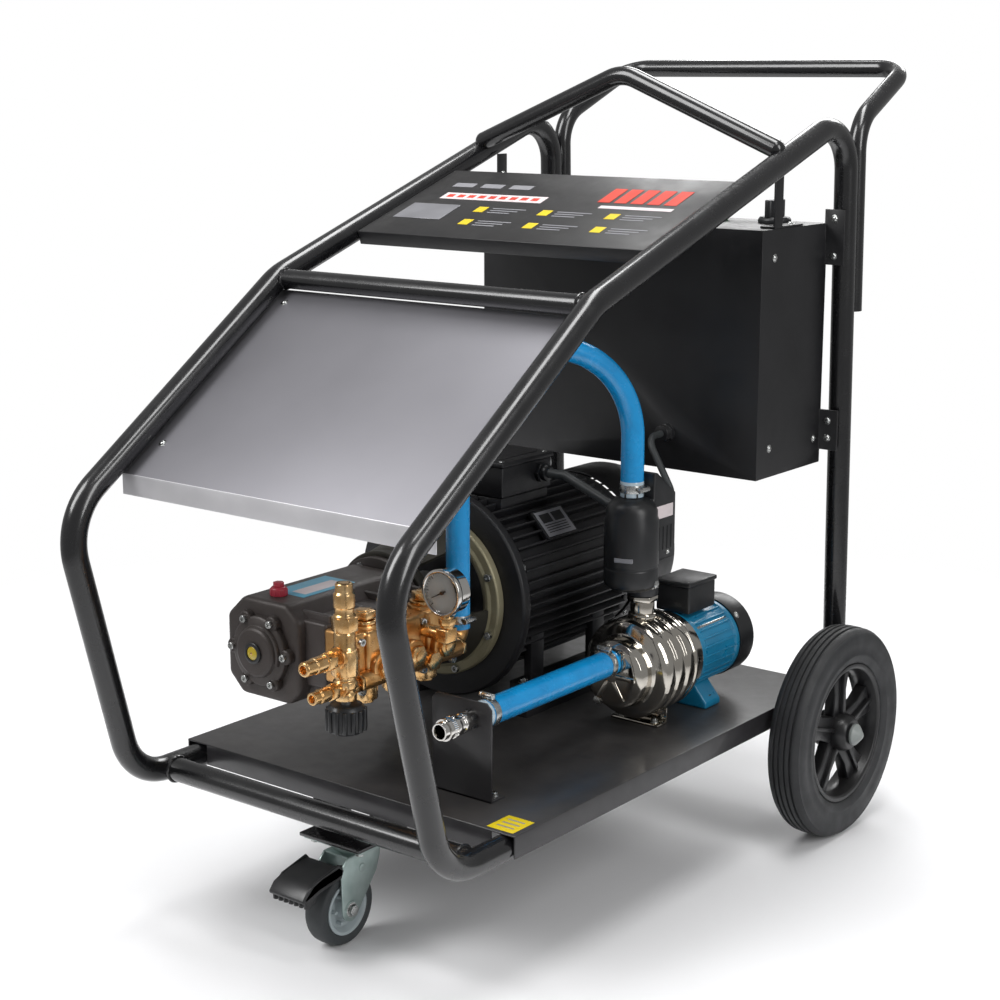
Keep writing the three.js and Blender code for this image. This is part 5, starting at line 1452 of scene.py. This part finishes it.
@dataclass
class PlungerPump(DriveLine):
    """The bell housing, the crankcase with its covers, and the brass head with its valves."""

    plungers: tuple[float, ...] = (-820.0, -762.0, -704.0)
    bell_r: float = 116.0
    cover_r: float = 46.0
    valve_column: tuple[float, float] = (68.0, -885.0)

    def bell(self) -> None:
        """Builds the bell housing: a bright bolted rim, and a cone with windows and a rear ring darkened with
        painted shade.
        """
        box = Span.of("bell_housing")
        rear, length = box.high.y, box.high.y - box.low.y
        form = Form("bell_housing_cast", BELL_CAST)
        r = self.bell_r
        rim = [(r - 28, 0), (r - 1.5, 0), (r, 1.5), (r, 12), (r - 2, 14), (r - 12, 14), (r - 16, 17),
               (r - 20, 17), (r - 28, 12)]
        form.lathe(rim, self.on_axis(rear), FRONT, 96, 0.5)
        # The cone and rear ring take the darker copy of the casting: painted shade behind the bright rim.
        form.use(BELL_CAST_PAINTED_SHADE)
        form.lathe([(42, length - 18), (82, length - 18), (84, length - 15), (84, length - 2), (82, length),
                    (42, length)], self.on_axis(rear), FRONT, 72, 0.5)
        wall = [(r - 20, 14), (r - 15, 16), (84, length - 16), (76, length - 16)]
        for k in range(3):
            form.lathe(wall, self.on_axis(rear), FRONT, 24, 0.0, turn=62, first=55 + 120 * k)
        form.use(BOLT_ZINC)
        for spot in around(self.on_axis(rear - 14), r - 7.5, 8, "y", 22.5):
            form.socket_bolt(spot, FRONT, 5.5, 6)
        form.piece("cart", "bell_housing")
        coupling = Form("shaft_coupling_turned", MACHINED_STEEL).node("shaft_coupling", 0.6)
        coupling.piece("drive_shaft", "shaft_coupling")
        Form("crankshaft_turned", MACHINED_STEEL).node("crankshaft", 0.6).piece("drive_shaft", "crankshaft")

    def crankcase(self) -> None:
        """Builds the ribbed crankcase with its filler cap and plain label."""
        box = Span.of("pump_crankcase")
        cx, cz = self.axis.x, self.axis.z
        front, rear = box.low.y, box.high.y
        form = Form("pump_crankcase_cast", PUMP_CAST)
        outline = [(cx - 66, cz - 42), (cx - 42, cz - 66), (cx + 44, cz - 66), (cx + 62, cz - 48),
                   (cx + 62, cz + 46), (cx + 40, cz + 66), (cx - 36, cz + 66), (cx - 66, cz + 38)]
        form.plate(Plane.XZ, outline, front, rear - 12, 7.0, steps=4)
        form.lathe([(30, 0), (78, 0), (78, 12), (30, 12)], self.on_axis(rear), FRONT, 64, 1.2)
        form.block((cx + 50, front + 12, cz - 38), (box.high.x, rear - 26, cz + 48), 4.0, steps=3)
        for k in range(4):
            y = front + 20 + k * 58
            form.block((cx + 40, y, cz - 52), (box.high.x - 2, y + 8, cz + 57), 2.5)
        for z in (cz + 40, cz - 40):
            form.block((cx - 66, front + 14, z - 3), (cx - 60, rear - 24, z + 3), 1.2)
        form.use(BOLT_ZINC)
        for spot in around(self.on_axis(rear - 12), 69, 8, "y", 22.5):
            form.socket_bolt(spot, FRONT, 4.6, 5)
        form.piece("cart", "pump_crankcase")
        label = Form("pump_side_label", LABEL_BLUE)
        label.block((cx - 20, front + 40, cz + 65.8), (cx + 34, front + 138, cz + 66.5), 0.3)
        label.use(INK_WHITE)
        label.block((cx + 2, front + 52, cz + 66.3), (cx + 26, front + 126, cz + 66.8), 0.2)
        label.piece("cart")
        cap = Span.of("oil_filler_cap")
        red = Form("oil_filler_cap_moulded", CAP_RED)
        at = Vector((cap.centre.x, cap.centre.y, cap.low.z))
        red.lathe([(0, 0), (11, 0), (11, 9), (9, 11.5), (0, 11.5)], at, UP, 32, 0.5)
        for spot in around(at, 10.2, 10, "z"):
            red.rod(1.6, 9, spot, UP, 10, 0.3)
        red.rod(7.5, 6.5, at + UP * 11, UP, 6, 0.8)
        red.piece("cart", "oil_filler_cap")

    def end_cover(self) -> None:
        """Builds the lugged end cover with its bolts, raised rib and sight glass."""
        box = Span.of("pump_end_cover")
        face, rear = box.low.y, box.high.y
        depth = rear - face
        form = Form("pump_end_cover_cast", PUMP_CAST)
        shape = [(0, 0), (self.cover_r, 0), (self.cover_r, 8), (self.cover_r - 3, 10), (34, 11), (32, 16),
                 (29, depth), (0, depth)]
        form.lathe(shape, self.on_axis(rear), FRONT, 72, 0.8)
        for spot in around(self.on_axis(rear), self.cover_r, 6):
            form.lathe([(0, 0), (10, 0), (10, 8), (8.5, 10), (0, 10)], spot, FRONT, 28, 0.5)
        rib = [(self.cover_r - 12, 9), (self.cover_r - 6, 9), (self.cover_r - 7, 14.5),
               (self.cover_r - 11, 14.5)]
        form.lathe(rib, self.on_axis(rear), FRONT, 24, 0.6, turn=88, first=-20)
        form.use(BOLT_ZINC)
        for spot in around(self.on_axis(rear - 10), self.cover_r, 6):
            form.socket_bolt(spot, FRONT, 4.8, 4.6)
        form.use(BLACK_PLASTIC)
        form.lathe([(9.3, depth - 1), (14, depth - 1), (14, depth + 2.5), (12, depth + 3.4),
                    (9.3, depth + 3.4)],
                   self.on_axis(rear), FRONT, 40, 0.3)
        form.piece("cart", "pump_end_cover")
        glass = Form("oil_sight_glass_lens", GLASS_YELLOW)
        low = Span.of("oil_sight_glass")
        glass.lathe([(0, 0), (9, 0), (9, 2), (6, 3.2), (0, 3.6)], self.on_axis(low.high.y), FRONT, 40, 0.2)
        glass.use(BRASS_TURNED)
        glass.rod(1.8, 0.6, self.on_axis(low.high.y - 3.1), FRONT, 16, 0.1)
        glass.piece("cart", "oil_sight_glass")

    def head(self) -> None:
        """Builds the forged brass head: valve columns, side plugs, bolts, manifold and inlet elbow."""
        x0, x1, z0, z1 = 8.3, 70.0, self.axis.z - 35, self.axis.z + 56
        front, rear = -862.0, -662.0
        form = Form("pump_head_forged", BRASS)
        form.block((x0, front + 2, z0 + 10), (x1 - 8, rear - 2, z1 - 12), 5.0, steps=3)
        for y in self.plungers:
            form.block((x0 + 4, y - 23, z0 + 9), (x1 - 2, y + 23, z1 - 11), 6.0, steps=3)
            form.rod(21, z1 - z0 - 14, (40, y, z0 + 7), UP, 48, 2.5)
            form.rod(20, 12, (x1 - 6, y, self.axis.z - 2), RIGHT, 48, 2.0)
            form.use(BRASS_TURNED)
            form.rod(18, 5, (40, y, z1 - 7), UP, 40, 1.0)
            form.rod(16, 10, (40, y, z1 - 1), UP, 6, 1.2)
            form.rod(9, 2, (40, y, z1 + 8.3), UP, 24, 0.5)
            form.rod(15, 8.5, (x1 + 5.5, y, self.axis.z - 2), RIGHT, 6, 1.2)
            form.rod(8, 2, (x1 + 13.5, y, self.axis.z - 2), RIGHT, 24, 0.5)
            form.rod(17, 24, (40, y, z0 + 9), DOWN, 40, 1.5)
            form.rod(14, 14, (40, y, z0 - 5), DOWN, 6, 1.2)
            form.use(BRASS)
        low = z0 + 20
        form.rod(12, rear - front - 8, (x1 - 4, front + 4, low), BACK, 32, 2.0)
        form.use(BRASS_TURNED)
        for y, way in ((front + 5, FRONT), (rear - 5, BACK)):
            form.rod(13, 6, (x1 - 4, y, low), way, 6, 1.0)
        form.rod(11, 12, (x1 + 2, -733, low), RIGHT, 32, 1.0)
        form.rod(13, 7, (x1 + 9, -733, low), RIGHT, 6, 1.0)
        form.use(BOLT_ZINC)
        for y in (-850, -791, -733, -674):
            for z in (self.axis.z + 34, self.axis.z - 30):
                form.socket_bolt((x1 - 9, y, z), RIGHT, 5.0, 6)
        form.use(BRASS)
        inlet = Vector((42, -635, self.axis.z - 14))
        form.tube([(inlet.x, rear - 6, inlet.z), inlet, inlet + UP * 14], [12.5], 13.6, 32, 10)
        form.use(BRASS_TURNED)
        form.rod(17, 7, (inlet.x, rear - 3, inlet.z), BACK, 6, 1.0)
        barb = [(0, 0), (13, 0), (13, 3), (12, 4), (13, 8), (12, 9), (13, 13), (12, 14), (13, 18), (12, 19),
                (12.4, 31.5), (0, 31.5)]
        form.lathe(barb, inlet + UP * 13.5, UP, 32, 0.2)
        gauge = Span.of("gauge_case")
        stem = Vector((gauge.centre.x, -733, self.axis.z + 24))
        form.rod(9, stem.x - x1 + 12, (x1 - 12, stem.y, stem.z), RIGHT, 28, 0.8)
        form.block(stem - Vector((11, 11, 10)), stem + Vector((9, 11, 10)), 3.0, steps=3)
        form.rod(8.5, gauge.low.z - stem.z - 1, stem, UP, 28, 0.6)
        form.rod(11.5, 8, (stem.x, stem.y, gauge.low.z - 12), UP, 6, 1.0)
        form.piece("cart", "pump_head")

    def unloader(self) -> None:
        """Builds the unloader valve column with its two outlet stubs."""
        low, high = self.axis.z - 29, self.axis.z + 119
        x, y = self.valve_column
        form = Form("unloader_valve_turned", BRASS_TURNED)
        column = [(6.4, 0), (14, 0), (14, 8), (12.5, 9.5), (12.5, 14), (15.5, 16), (15.5, 24), (13, 26),
                  (13, 30),
                  (16.5, 33), (17, 40), (17, 60), (15, 66), (13.6, 68), (13.6, 84), (12.4, 86), (12.4, 88),
                  (14, 90), (14, 107), (12, 109), (12, 116), (13.4, 118), (13.4, 134), (11, 137), (11, 146),
                  (9.5, 148), (6.4, 148)]
        form.lathe(column, (x, y, low), UP, 48, 0.4)
        form.rod(9.2, 6, (x, y, high - 6), UP, 24, 0.8)
        form.rod(18, 34, (x, y, low + 31), UP, 8, 2.0)
        form.rod(17, 18, (x, y, low + 87), UP, 6, 1.2)
        form.use(BRASS)
        form.rod(13, 20, (x - 6, y, self.axis.z + 22), BACK, 28, 1.0)
        upper, lower = self.axis.z + 26, self.axis.z - 14
        form.rod(14, 16, (x, y, upper), FRONT, 32, 1.2)
        form.rod(12, 12, (x, y, lower), FRONT, 32, 1.0)
        form.use(BRASS_TURNED)
        stub = [(0, 0), (9, 0), (9, 18), (10.5, 19), (10.5, 44), (9.5, 45), (9.5, 60), (8, 62), (5.5, 62),
                (5.5, 52), (0, 52)]
        form.lathe(stub, (x, y - 12, upper), FRONT, 40, 0.4)
        form.rod(13.2, 14, (x, y - 24, upper), FRONT, 6, 1.2)
        short = [(0, 0), (8, 0), (8, 20), (9.4, 21), (9.4, 36), (8, 38), (8, 48), (5, 48), (5, 40), (0, 40)]
        form.lathe(short, (x, y - 12, lower), FRONT, 36, 0.4)
        form.rod(11.5, 10, (x, y - 20, lower), FRONT, 6, 1.0)
        form.piece("cart", "unloader_valve")
        knob = Form("unloader_knob_ribbed", BLACK_PLASTIC)
        top = Span.of("unloader_knob").low.z + 36
        knob.lathe([(0, -36), (20, -36), (23.4, -32), (23.4, -5), (20, 0), (0, 0)], (x, y, top), UP, 48, 0.8)
        for spot in around((x, y, top - 33), 23.2, 14, "z"):
            knob.rod(3.2, 28, spot, UP, 14, 1.2)
        knob.use(MACHINED_STEEL)
        knob.rod(6, 24, (x, y, top - 1), UP, 24)
        knob.piece("unloader", "unloader_knob")

    def gauge(self) -> None:
        """Builds the pressure gauge: case, dial with ticks, needle and lens."""
        box = Span.of("gauge_case")
        face, r = box.low.y, (box.high.x - box.low.x) / 2
        middle = Vector((box.centre.x, face, box.centre.z))
        case = Form("gauge_case_bezel", CHROME)
        case.lathe([(r - 4.5, 1), (r - 3, 0), (r - 0.8, 0), (r, 1.2), (r, 6), (r - 1.6, 8.5), (r - 2, 11),
                    (r - 2, 25), (r - 5, 28), (0, 28), (0, 6.5), (r - 4.5, 6.5)], middle, BACK, 72, 0.2)
        case.use(DIAL_WHITE)
        case.rod(r - 4.4, 0.8, middle + BACK * 5.8, BACK, 64, 0.1)
        case.use(BLACK_PLASTIC)
        for k in range(31):
            turn = math.radians(225 - 9 * k)
            long = k % 5 == 0
            place = Matrix.Translation(middle + BACK * 5.5) @ Matrix.Rotation(-turn, 4, "Y")
            inner = r - (9.5 if long else 7.5)
            width = 0.45 if long else 0.25
            case.block((inner, -0.2, -width), (r - 5.5, 0.4, width), 0.0, place)
        case.piece("cart", "gauge_case")
        lens = Form("gauge_lens", LENS_CLEAR)
        lens.rod(r - 4.6, 0.9, middle + BACK * 0.9, BACK, 64, 0.2)
        lens.piece("cart")
        needle = Form("gauge_needle_blade", BLACK_PLASTIC)
        swing = Matrix.Translation(middle) @ Matrix.Rotation(math.radians(-118), 4, "Y")
        needle.plate(Plane.XZ, [(-1.3, -6), (1.3, -6), (0.9, 4), (0.3, 20), (-0.3, 20), (-0.9, 4)], 3.0, 4.2,
                     0.1, swing)
        needle.rod(2.6, 3.2, middle + BACK * 2.4, BACK, 24, 0.4)
        needle.piece("needle", "gauge_needle")

    def build(self) -> None:
        """Builds every piece of the pump."""
        self.bell()
        self.crankcase()
        self.end_cover()
        self.head()
        self.unloader()
        self.gauge()


# ---------------------------------------------------------------- the water line


@dataclass
class WaterLine:
    """The inlet coupling, both hoses and their clamps."""

    x: float = 162.0
    z: float = 320.0
    plate_y: float = -759.0
    hose_r: float = 18.0
    feed_r: float = 16.0

    def coupling(self) -> None:
        """Builds the chromed quick coupling and its sliding sleeve."""
        at = (self.x, self.plate_y, self.z)
        form = Form("inlet_coupling_turned", CHROME)
        form.lathe([(9, -60), (11.5, -60), (11.5, -22), (13, -20), (13, -0.3), (9, -0.3)], at, BACK, 48, 0.4)
        form.use(BLACK_PLASTIC)
        form.rod(14.5, 9, (self.x, self.plate_y - 9.4, self.z), BACK, 6, 1.0)
        form.use(BRASS_TURNED)
        form.lathe([(9, -2), (10.8, -2), (10.8, 18), (13, 18), (13, 38), (9, 38)], at, BACK, 40, 0.4)
        form.rod(14, 8, (self.x, self.plate_y + 3.4, self.z), BACK, 6, 1.0)
        form.piece("cart", "inlet_coupling")
        sleeve = Form("coupling_sleeve_knurled", CHROME)
        sleeve.lathe([(11.8, -52), (14.2, -52), (14.5, -51), (14.5, -47), (13.5, -46), (13.5, -38),
                      (14.5, -37),
                      (14.5, -31), (14.2, -30), (11.8, -30)], at, BACK, 64)
        for spot in around((self.x, self.plate_y - 45.5, self.z), 13.4, 36):
            sleeve.rod(0.7, 7, spot, BACK, 6, 0.0)
        sleeve.piece("sleeve", "coupling_sleeve")

    def hoses(self) -> None:
        """Builds the suction hose and the feed hose, each with its clamps."""
        low = Span.of("suction_hose")
        form = Form("suction_hose_body", HOSE_BLUE)
        r = self.hose_r
        form.tube([(self.x, low.low.y, self.z), (self.x, low.high.y, self.z)], [], r, 40)
        form.use(HOSE_END)
        form.lathe([(13.2, 0), (r + 0.3, 0), (r + 0.3, 9), (13.2, 9)], (self.x, low.low.y - 0.2, self.z),
                   BACK, 40, 1.0)
        form.use(BOLT_ZINC)
        form.clamp((self.x, low.low.y + 10, self.z), BACK, r, UP)
        form.clamp((self.x, low.high.y - 18, self.z), BACK, r, UP)
        form.piece("cart", "suction_hose")
        box = Span.of("feed_hose")
        r = self.feed_r
        start = Vector((self.x, -405.0, 546.0))
        end = Vector((42.0, -635.0, box.low.z))
        across = (end - start).xy.length
        top = box.high.z - r
        feed = Form("feed_hose_body", HOSE_BLUE)
        bend = across / 2 - 0.01
        feed.tube([start, (start.x, start.y, top), (end.x, end.y, top), end], [bend, bend], r, 40, 28)
        feed.use(HOSE_END)
        feed.lathe([(13.2, 0), (r + 0.3, 0), (r + 0.3, 22), (13.2, 22)], start - UP * 0.2, UP, 40, 1.0)
        feed.use(BOLT_ZINC)
        feed.clamp(start + UP * 6, UP, r, RIGHT)
        feed.clamp(end + UP * 8, UP, r, RIGHT)
        feed.piece("cart", "feed_hose")

    def build(self) -> None:
        """Builds the coupling and the hoses."""
        self.coupling()
        self.hoses()


@dataclass
class BoosterPump:
    """The stainless booster pump with its blue motor, controller and cables."""

    x: float = 162.0
    z: float = 300.0
    neck_z: float = 320.0
    body_r: float = 71.0
    motor_r: float = 58.0
    neck: float = -470.0
    body_rear: float = -330.0
    motor_front: float = -310.0
    motor_rear: float = -205.0

    def on_axis(self, y: float) -> Vector:
        """A point of the booster's axis.

        Args:
            y: The place along the axis.

        Returns:
            The point.
        """
        return Vector((self.x, y, self.z))

    def body(self) -> None:
        """Builds the pressed stainless body with its neck, ribs, outlet and foot."""
        r = self.body_r
        form = Form("booster_body_pressed", BOOSTER_STEEL)
        profile = [
            (0, 18.5), (34, 19), (43, 22), (48, 26), (49, 32), (49, 48), (52, 52),
            (62, 54), (68, 57), (r, 62), (r, 72), (r - 3, 75), (r - 3, 81), (r, 84), (r, 96), (r - 3, 99),
            (r - 3, 105), (r, 108), (r, 122), (r - 2.5, 127), (r - 0.5, 129), (r - 0.5, 134), (r - 6, 138),
            (62, 141), (62, 160), (0, 160),
        ]
        form.lathe(profile, self.on_axis(self.neck), BACK, 96, 0.6)
        form.lathe([(0, 0), (13, 0), (13, 15), (17, 17.6), (17, 24), (0, 24)],
                   (self.x, self.neck, self.neck_z), BACK,
                   40, 0.6)
        for angle in (-60, 0, 60, 120, 180, 240):
            turn = Matrix.Translation(self.on_axis(0)) @ Matrix.Rotation(math.radians(angle + 150), 4, "Y")
            form.block((-4, self.neck + 17.6, 8), (4, self.neck + 23, 40), 2.0, turn)
        outlet = Span.of("pump_controller").low.z
        form.rod(17, outlet - self.z - 66, (self.x, -375, self.z + 64), UP, 40, 1.0)
        form.rod(22, 8, (self.x, -375, outlet - 9), UP, 6, 1.2)
        form.rod(20, 9, (self.x, -375, self.z + 66), UP, 40, 2.0)
        foot = Span.of("booster_body").low.z
        form.block((self.x - 40, self.body_rear - 40, foot), (self.x + 40, self.body_rear - 36,
                                                              self.z - 60), 1.2)
        form.block((self.x - 40, self.body_rear - 62, foot), (self.x + 40, self.body_rear - 36, foot + 4),
                   1.5)
        form.use(BOLT_ZINC)
        form.hex_bolt((self.x - 24, self.neck + 26, self.z - 40), FRONT, 6.0, 5)
        for side in (-1, 1):
            form.hex_bolt((self.x + side * 28, self.body_rear - 52, foot + 4), UP, 5.0, 4)
        form.piece("cart", "booster_body")

    def motor(self) -> None:
        """Builds the blue motor with its cooling fins, foot and cover."""
        r = self.motor_r
        length = self.motor_rear - self.motor_front
        form = Form("booster_motor_cast", BOOSTER_BLUE)
        form.lathe([(8.3, 0.3), (r, 0.3), (r, 14), (r - 3, 16), (r - 3, length - 10), (r, length - 8),
                    (r, length),
                    (8.3, length)], self.on_axis(self.motor_front), BACK, 72, 0.5)
        for k in range(28):
            turn = Matrix.Translation(self.on_axis(0)) @ Matrix.Rotation(2 * math.pi * k / 28, 4, "Y")
            form.block((-1.2, self.motor_front + 14, r - 5), (1.2, self.motor_rear - 8, r - 0.2), 0.7, turn)
        low = Span.of("booster_motor").low.z
        stem = [(self.x - 50, low), (self.x + 50, low), (self.x + 50, low + 9), (self.x + 26, self.z - 46),
                (self.x - 26, self.z - 46), (self.x - 50, low + 9)]
        form.plate(Plane.XZ, stem, -282, -242, 3.0, steps=3)
        form.use(BOLT_ZINC)
        for side in (-1, 1):
            form.hex_bolt((self.x + side * 40, -262, low + 11), UP, 5.5, 4.5)
        for spot in around(self.on_axis(self.motor_front + 0.5), r - 6, 4, "y", 45):
            form.rod(3.6, length + 3, spot, BACK, 12, 0.5)
        form.piece("cart", "booster_motor")
        cover = Form("booster_fan_cover_moulded", BLACK_PLASTIC)
        box = Span.of("booster_fan_cover")
        depth, outer = box.high.y - box.low.y, r + 1.5
        shell = [(outer - 2.5, 0), (outer, 0), (outer, depth - 8), (outer - 3, depth - 3), (outer - 9, depth),
                 (40, depth), (40, depth - 2), (outer - 10, depth - 2), (outer - 2.5, depth - 8)]
        cover.lathe(shell, self.on_axis(box.low.y), BACK, 72, 0.4)
        for radius in (36, 28):
            cover.lathe([(radius - 1.4, depth - 2.4), (radius + 1.4, depth - 2.4), (radius + 1.4, depth),
                         (radius - 1.4, depth)], self.on_axis(box.low.y), BACK, 48, 0.3)
        cover.rod(21, 2.4, self.on_axis(box.high.y - 2.4), BACK, 40)
        for k in range(8):
            turn = Matrix.Translation(self.on_axis(0)) @ Matrix.Rotation(math.pi * k / 4, 4, "Y")
            cover.block((19, box.high.y - 2.5, -2), (42, box.high.y - 0.2, 2), 0.4, turn)
        cover.use(BOLT_ZINC)
        out = Vector((math.sin(math.radians(50)), 0, math.cos(math.radians(50))))
        cover.pan_screw(self.on_axis(box.low.y + 8) + out * (outer - 0.4), out, 4.0)
        cover.piece("cart", "booster_fan_cover")
        rotor = Form("booster_rotor_turned", MACHINED_STEEL)
        rotor.node("booster_rotor", 0.5).piece("booster_shaft", "booster_rotor")
        lid = Form("booster_terminal_box_moulded", BLACK_PLASTIC)
        box = Span.of("booster_terminal_box")
        low, high = box.low, box.high
        lid.plate(Plane.XY, [(low.x + 2, low.y + 2), (high.x - 2, low.y + 2), (high.x - 2, high.y - 2),
                             (low.x + 2, high.y - 2)], low.z, high.z - 6, 2.5, steps=3)
        lid.block((low.x, low.y, high.z - 7), high, 2.2, steps=3)
        lid.use(BOLT_ZINC)
        for x in (low.x + 7, high.x - 7):
            lid.pan_screw((x, low.y + 8, high.z - 2.8), UP, 2.6)
        lid.piece("cart", "booster_terminal_box")

    def controller(self) -> None:
        """Builds the pump controller on the outlet of the booster."""
        box = Span.of("pump_controller")
        low, high = box.low.z, box.low.z + 144
        y, r, side, back = -405.0, 38.0, self.x - 24, -331.0
        form = Form("pump_controller_moulded", BLACK_PLASTIC)
        form.rod(22, 22, (self.x, y + 30, low), UP, 40, 1.5)
        barrel = [(0, 14), (24, 14), (32, 17), (r - 1, 22), (r, 28), (r, 45), (r - 0.7, 46), (r - 0.7, 49),
                  (r, 50),
                  (r, 112), (r - 2, 118), (r - 2, 126), (r - 6, 134), (r - 14, 141), (16, 144), (0, 144)]
        form.lathe(barrel, (self.x, y, low), UP, 72, 0.5)
        form.rod(17, 9, (self.x, y, high - 2), UP, 6, 1.2)
        form.rod(13, 28, (self.x, y, high), UP, 32, 0.8)
        outline = [(y, low + 50), (back, low + 50), (back, high - 2), (y + 28, high + 32),
                   (y + 20, high + 32),
                   (y + 20, high - 6), (y, high - 6)]
        form.plate(Plane.YZ, outline, side, self.x + 24, 3.0, steps=3)
        for k in range(4):
            form.block((self.x + 22, y + 32 + 10 * k, low + 64), (self.x + 25, y + 35 + 10 * k, high - 46),
                       1.2)
        gland = Vector((self.x - 8, back - 4, high - 25))
        form.rod(13, 7, gland, BACK, 6, 0.8)
        form.rod(11, box.high.y - gland.y - 7, gland + BACK * 7, BACK, 28, 1.5)
        gland = Vector((side + 4, y + 44, high - 30))
        form.rod(13, 8, gland, LEFT, 6, 0.8)
        form.rod(11, 10, gland + LEFT * 8, LEFT, 28, 1.5)
        turn = Matrix.Translation((self.x, y, 0)) @ Matrix.Rotation(math.radians(18), 4, "Z")
        form.use(INK_GREY)
        middle = low + 62
        form.block((-13, -r - 0.6, middle - 3), (13, -r + 5, middle + 3), 0.5, turn)
        form.use(INK_WHITE)
        form.block((self.x + 23.6, y + 24, high - 34), (self.x + 24.5, y + 66, high - 16), 0.3)
        form.use(BOLT_ZINC)
        form.hex_bolt((self.x + r - 6, y + 8, low + 24), RIGHT, 6.0, 5)
        form.pan_screw((self.x + 24, y + 54, low + 60), RIGHT, 3.0)
        form.piece("cart", "pump_controller")

    def cables(self) -> None:
        """Builds the motor cable and the controller cable along their routes."""
        cable = Form("motor_cable_sheath", CABLE_BLACK)
        start, end = Vector((-18.7, -352, 546)), Vector((self.x - 38.3, -361, 515))
        cable.tube([start, (11, start.y, start.z), (self.x - 60, end.y, end.z), end], [24, 24], 7.0, 24, 12)
        cable.piece("cart", "motor_cable")
        thin = Form("controller_cable_sheath", CABLE_BLACK)
        box = Span.of("controller_cable")
        low = box.low.z + 5
        start = box.low.y
        thin.tube([(self.x - 8, start, low), (self.x - 8, start + 33.7, low), (96, start + 47.7, 600),
                   (96, box.high.y, 600)], [24, 24], 5, 20, 10)
        thin.piece("cart", "controller_cable")

    def build(self) -> None:
        """Builds every piece of the booster."""
        self.body()
        self.motor()
        self.controller()
        self.cables()


# ---------------------------------------------------------------- studio


@dataclass
class Studio:
    """A plain pale floor, soft lights and the camera."""

    azimuth: float = 38.09
    elevation: float = 12.5
    lens: float = 69.66
    eye: tuple[float, float, float] = (1616.1, -2553.1, 1114.0)
    floor_solid: float = 0.7
    floor_end: float = 1.9

    def camera(self) -> None:
        """Places the camera."""
        data = bpy.data.cameras.new("camera")
        data.lens = self.lens
        data.sensor_width = 36.0
        data.clip_end = 100.0
        camera = bpy.data.objects.new("camera", data)
        camera.location = TO_FRAME @ Vector(self.eye)
        camera.rotation_euler = (math.radians(90 - self.elevation), 0, math.radians(self.azimuth))
        bpy.context.scene.collection.objects.link(camera)
        bpy.context.scene.camera = camera

    def floor(self) -> None:
        """Lays the floor."""
        mesh = bpy.data.meshes.new("floor")
        ground = bmesh.new()
        bmesh.ops.create_grid(ground, x_segments=1, y_segments=1, size=40)
        ground.to_mesh(mesh)
        ground.free()
        floor = bpy.data.objects.new("floor", mesh)
        material = bpy.data.materials.new("pale_floor")
        material.use_nodes = True
        nodes, links = material.node_tree.nodes, material.node_tree.links
        shader = nodes["Principled BSDF"]
        shader.inputs["Base Color"].default_value = (0.9, 0.9, 0.91, 1)
        shader.inputs["Roughness"].default_value = 0.9
        place = nodes.new("ShaderNodeTexCoord")
        reach = nodes.new("ShaderNodeVectorMath")
        reach.operation = "LENGTH"
        fade = nodes.new("ShaderNodeMapRange")
        fade.inputs["From Min"].default_value = self.floor_solid
        fade.inputs["From Max"].default_value = self.floor_end
        fade.inputs["To Min"].default_value = 1.0
        fade.inputs["To Max"].default_value = 0.0
        links.new(place.outputs["Object"], reach.inputs[0])
        links.new(reach.outputs["Value"], fade.inputs["Value"])
        links.new(fade.outputs["Result"], shader.inputs["Alpha"])
        mesh.materials.append(material)
        bpy.context.scene.collection.objects.link(floor)

    def light(self, name: str, at: Point, target: Point, size: tuple[float, float], power: float) -> None:
        """Hangs a softbox.

        Args:
            name: Its name.
            at: Where it hangs, in metres.
            target: What it faces, in metres.
            size: Width and height, in metres.
            power: Watts.
        """
        data = bpy.data.lights.new(name, "AREA")
        data.shape = "RECTANGLE"
        data.size, data.size_y = size
        data.energy = power
        lamp = bpy.data.objects.new(name, data)
        lamp.location = at
        lamp.rotation_euler = (Vector(target) - Vector(at)).to_track_quat("-Z", "Y").to_euler()
        bpy.context.scene.collection.objects.link(lamp)

    def world(self) -> None:
        """Sets a white backdrop that lights less than it shows."""
        world = bpy.data.worlds.new("studio")
        world.use_nodes = True
        nodes, links = world.node_tree.nodes, world.node_tree.links
        back = nodes["Background"]
        back.inputs["Color"].default_value = (1, 1, 1, 1)
        path = nodes.new("ShaderNodeLightPath")
        level = nodes.new("ShaderNodeMapRange")
        level.inputs["To Min"].default_value = 0.32
        level.inputs["To Max"].default_value = 1.0
        links.new(path.outputs["Is Camera Ray"], level.inputs["Value"])
        links.new(level.outputs["Result"], back.inputs["Strength"])
        bpy.context.scene.world = world

    def build(self) -> None:
        """Sets up the whole studio."""
        self.camera()
        self.floor()
        self.world()
        middle = (0, 0, 0.5)
        self.light("key_softbox", (-1.6, -2.6, 3.2), middle, (1.6, 2.4), 110)
        self.light("side_softbox", (3.4, -0.6, 2.2), middle, (1.0, 2.6), 60)
        self.light("top_strip", (0.2, 0.2, 3.4), middle, (3.2, 0.7), 70)
        self.light("rear_softbox", (-0.8, 3.2, 2.4), middle, (2.2, 1.2), 50)
        bpy.context.scene.view_settings.view_transform = "Standard"


def main() -> None:
    """Builds the studio and every sub-assembly in order."""
    logging.basicConfig(level=logging.INFO, format="%(message)s")
    Studio().build()
    parts = [TubeFrame(), BaseTray(), RoadWheel(-1), RoadWheel(1), RearAxle(), SwivelCaster(), Covers(),
             ControlBox(), DriveMotor(), PlungerPump(), WaterLine(), BoosterPump()]
    for part in parts:
        part.build()
        log.info("%s built", type(part).__name__)


if __name__ == "__main__":
    main()
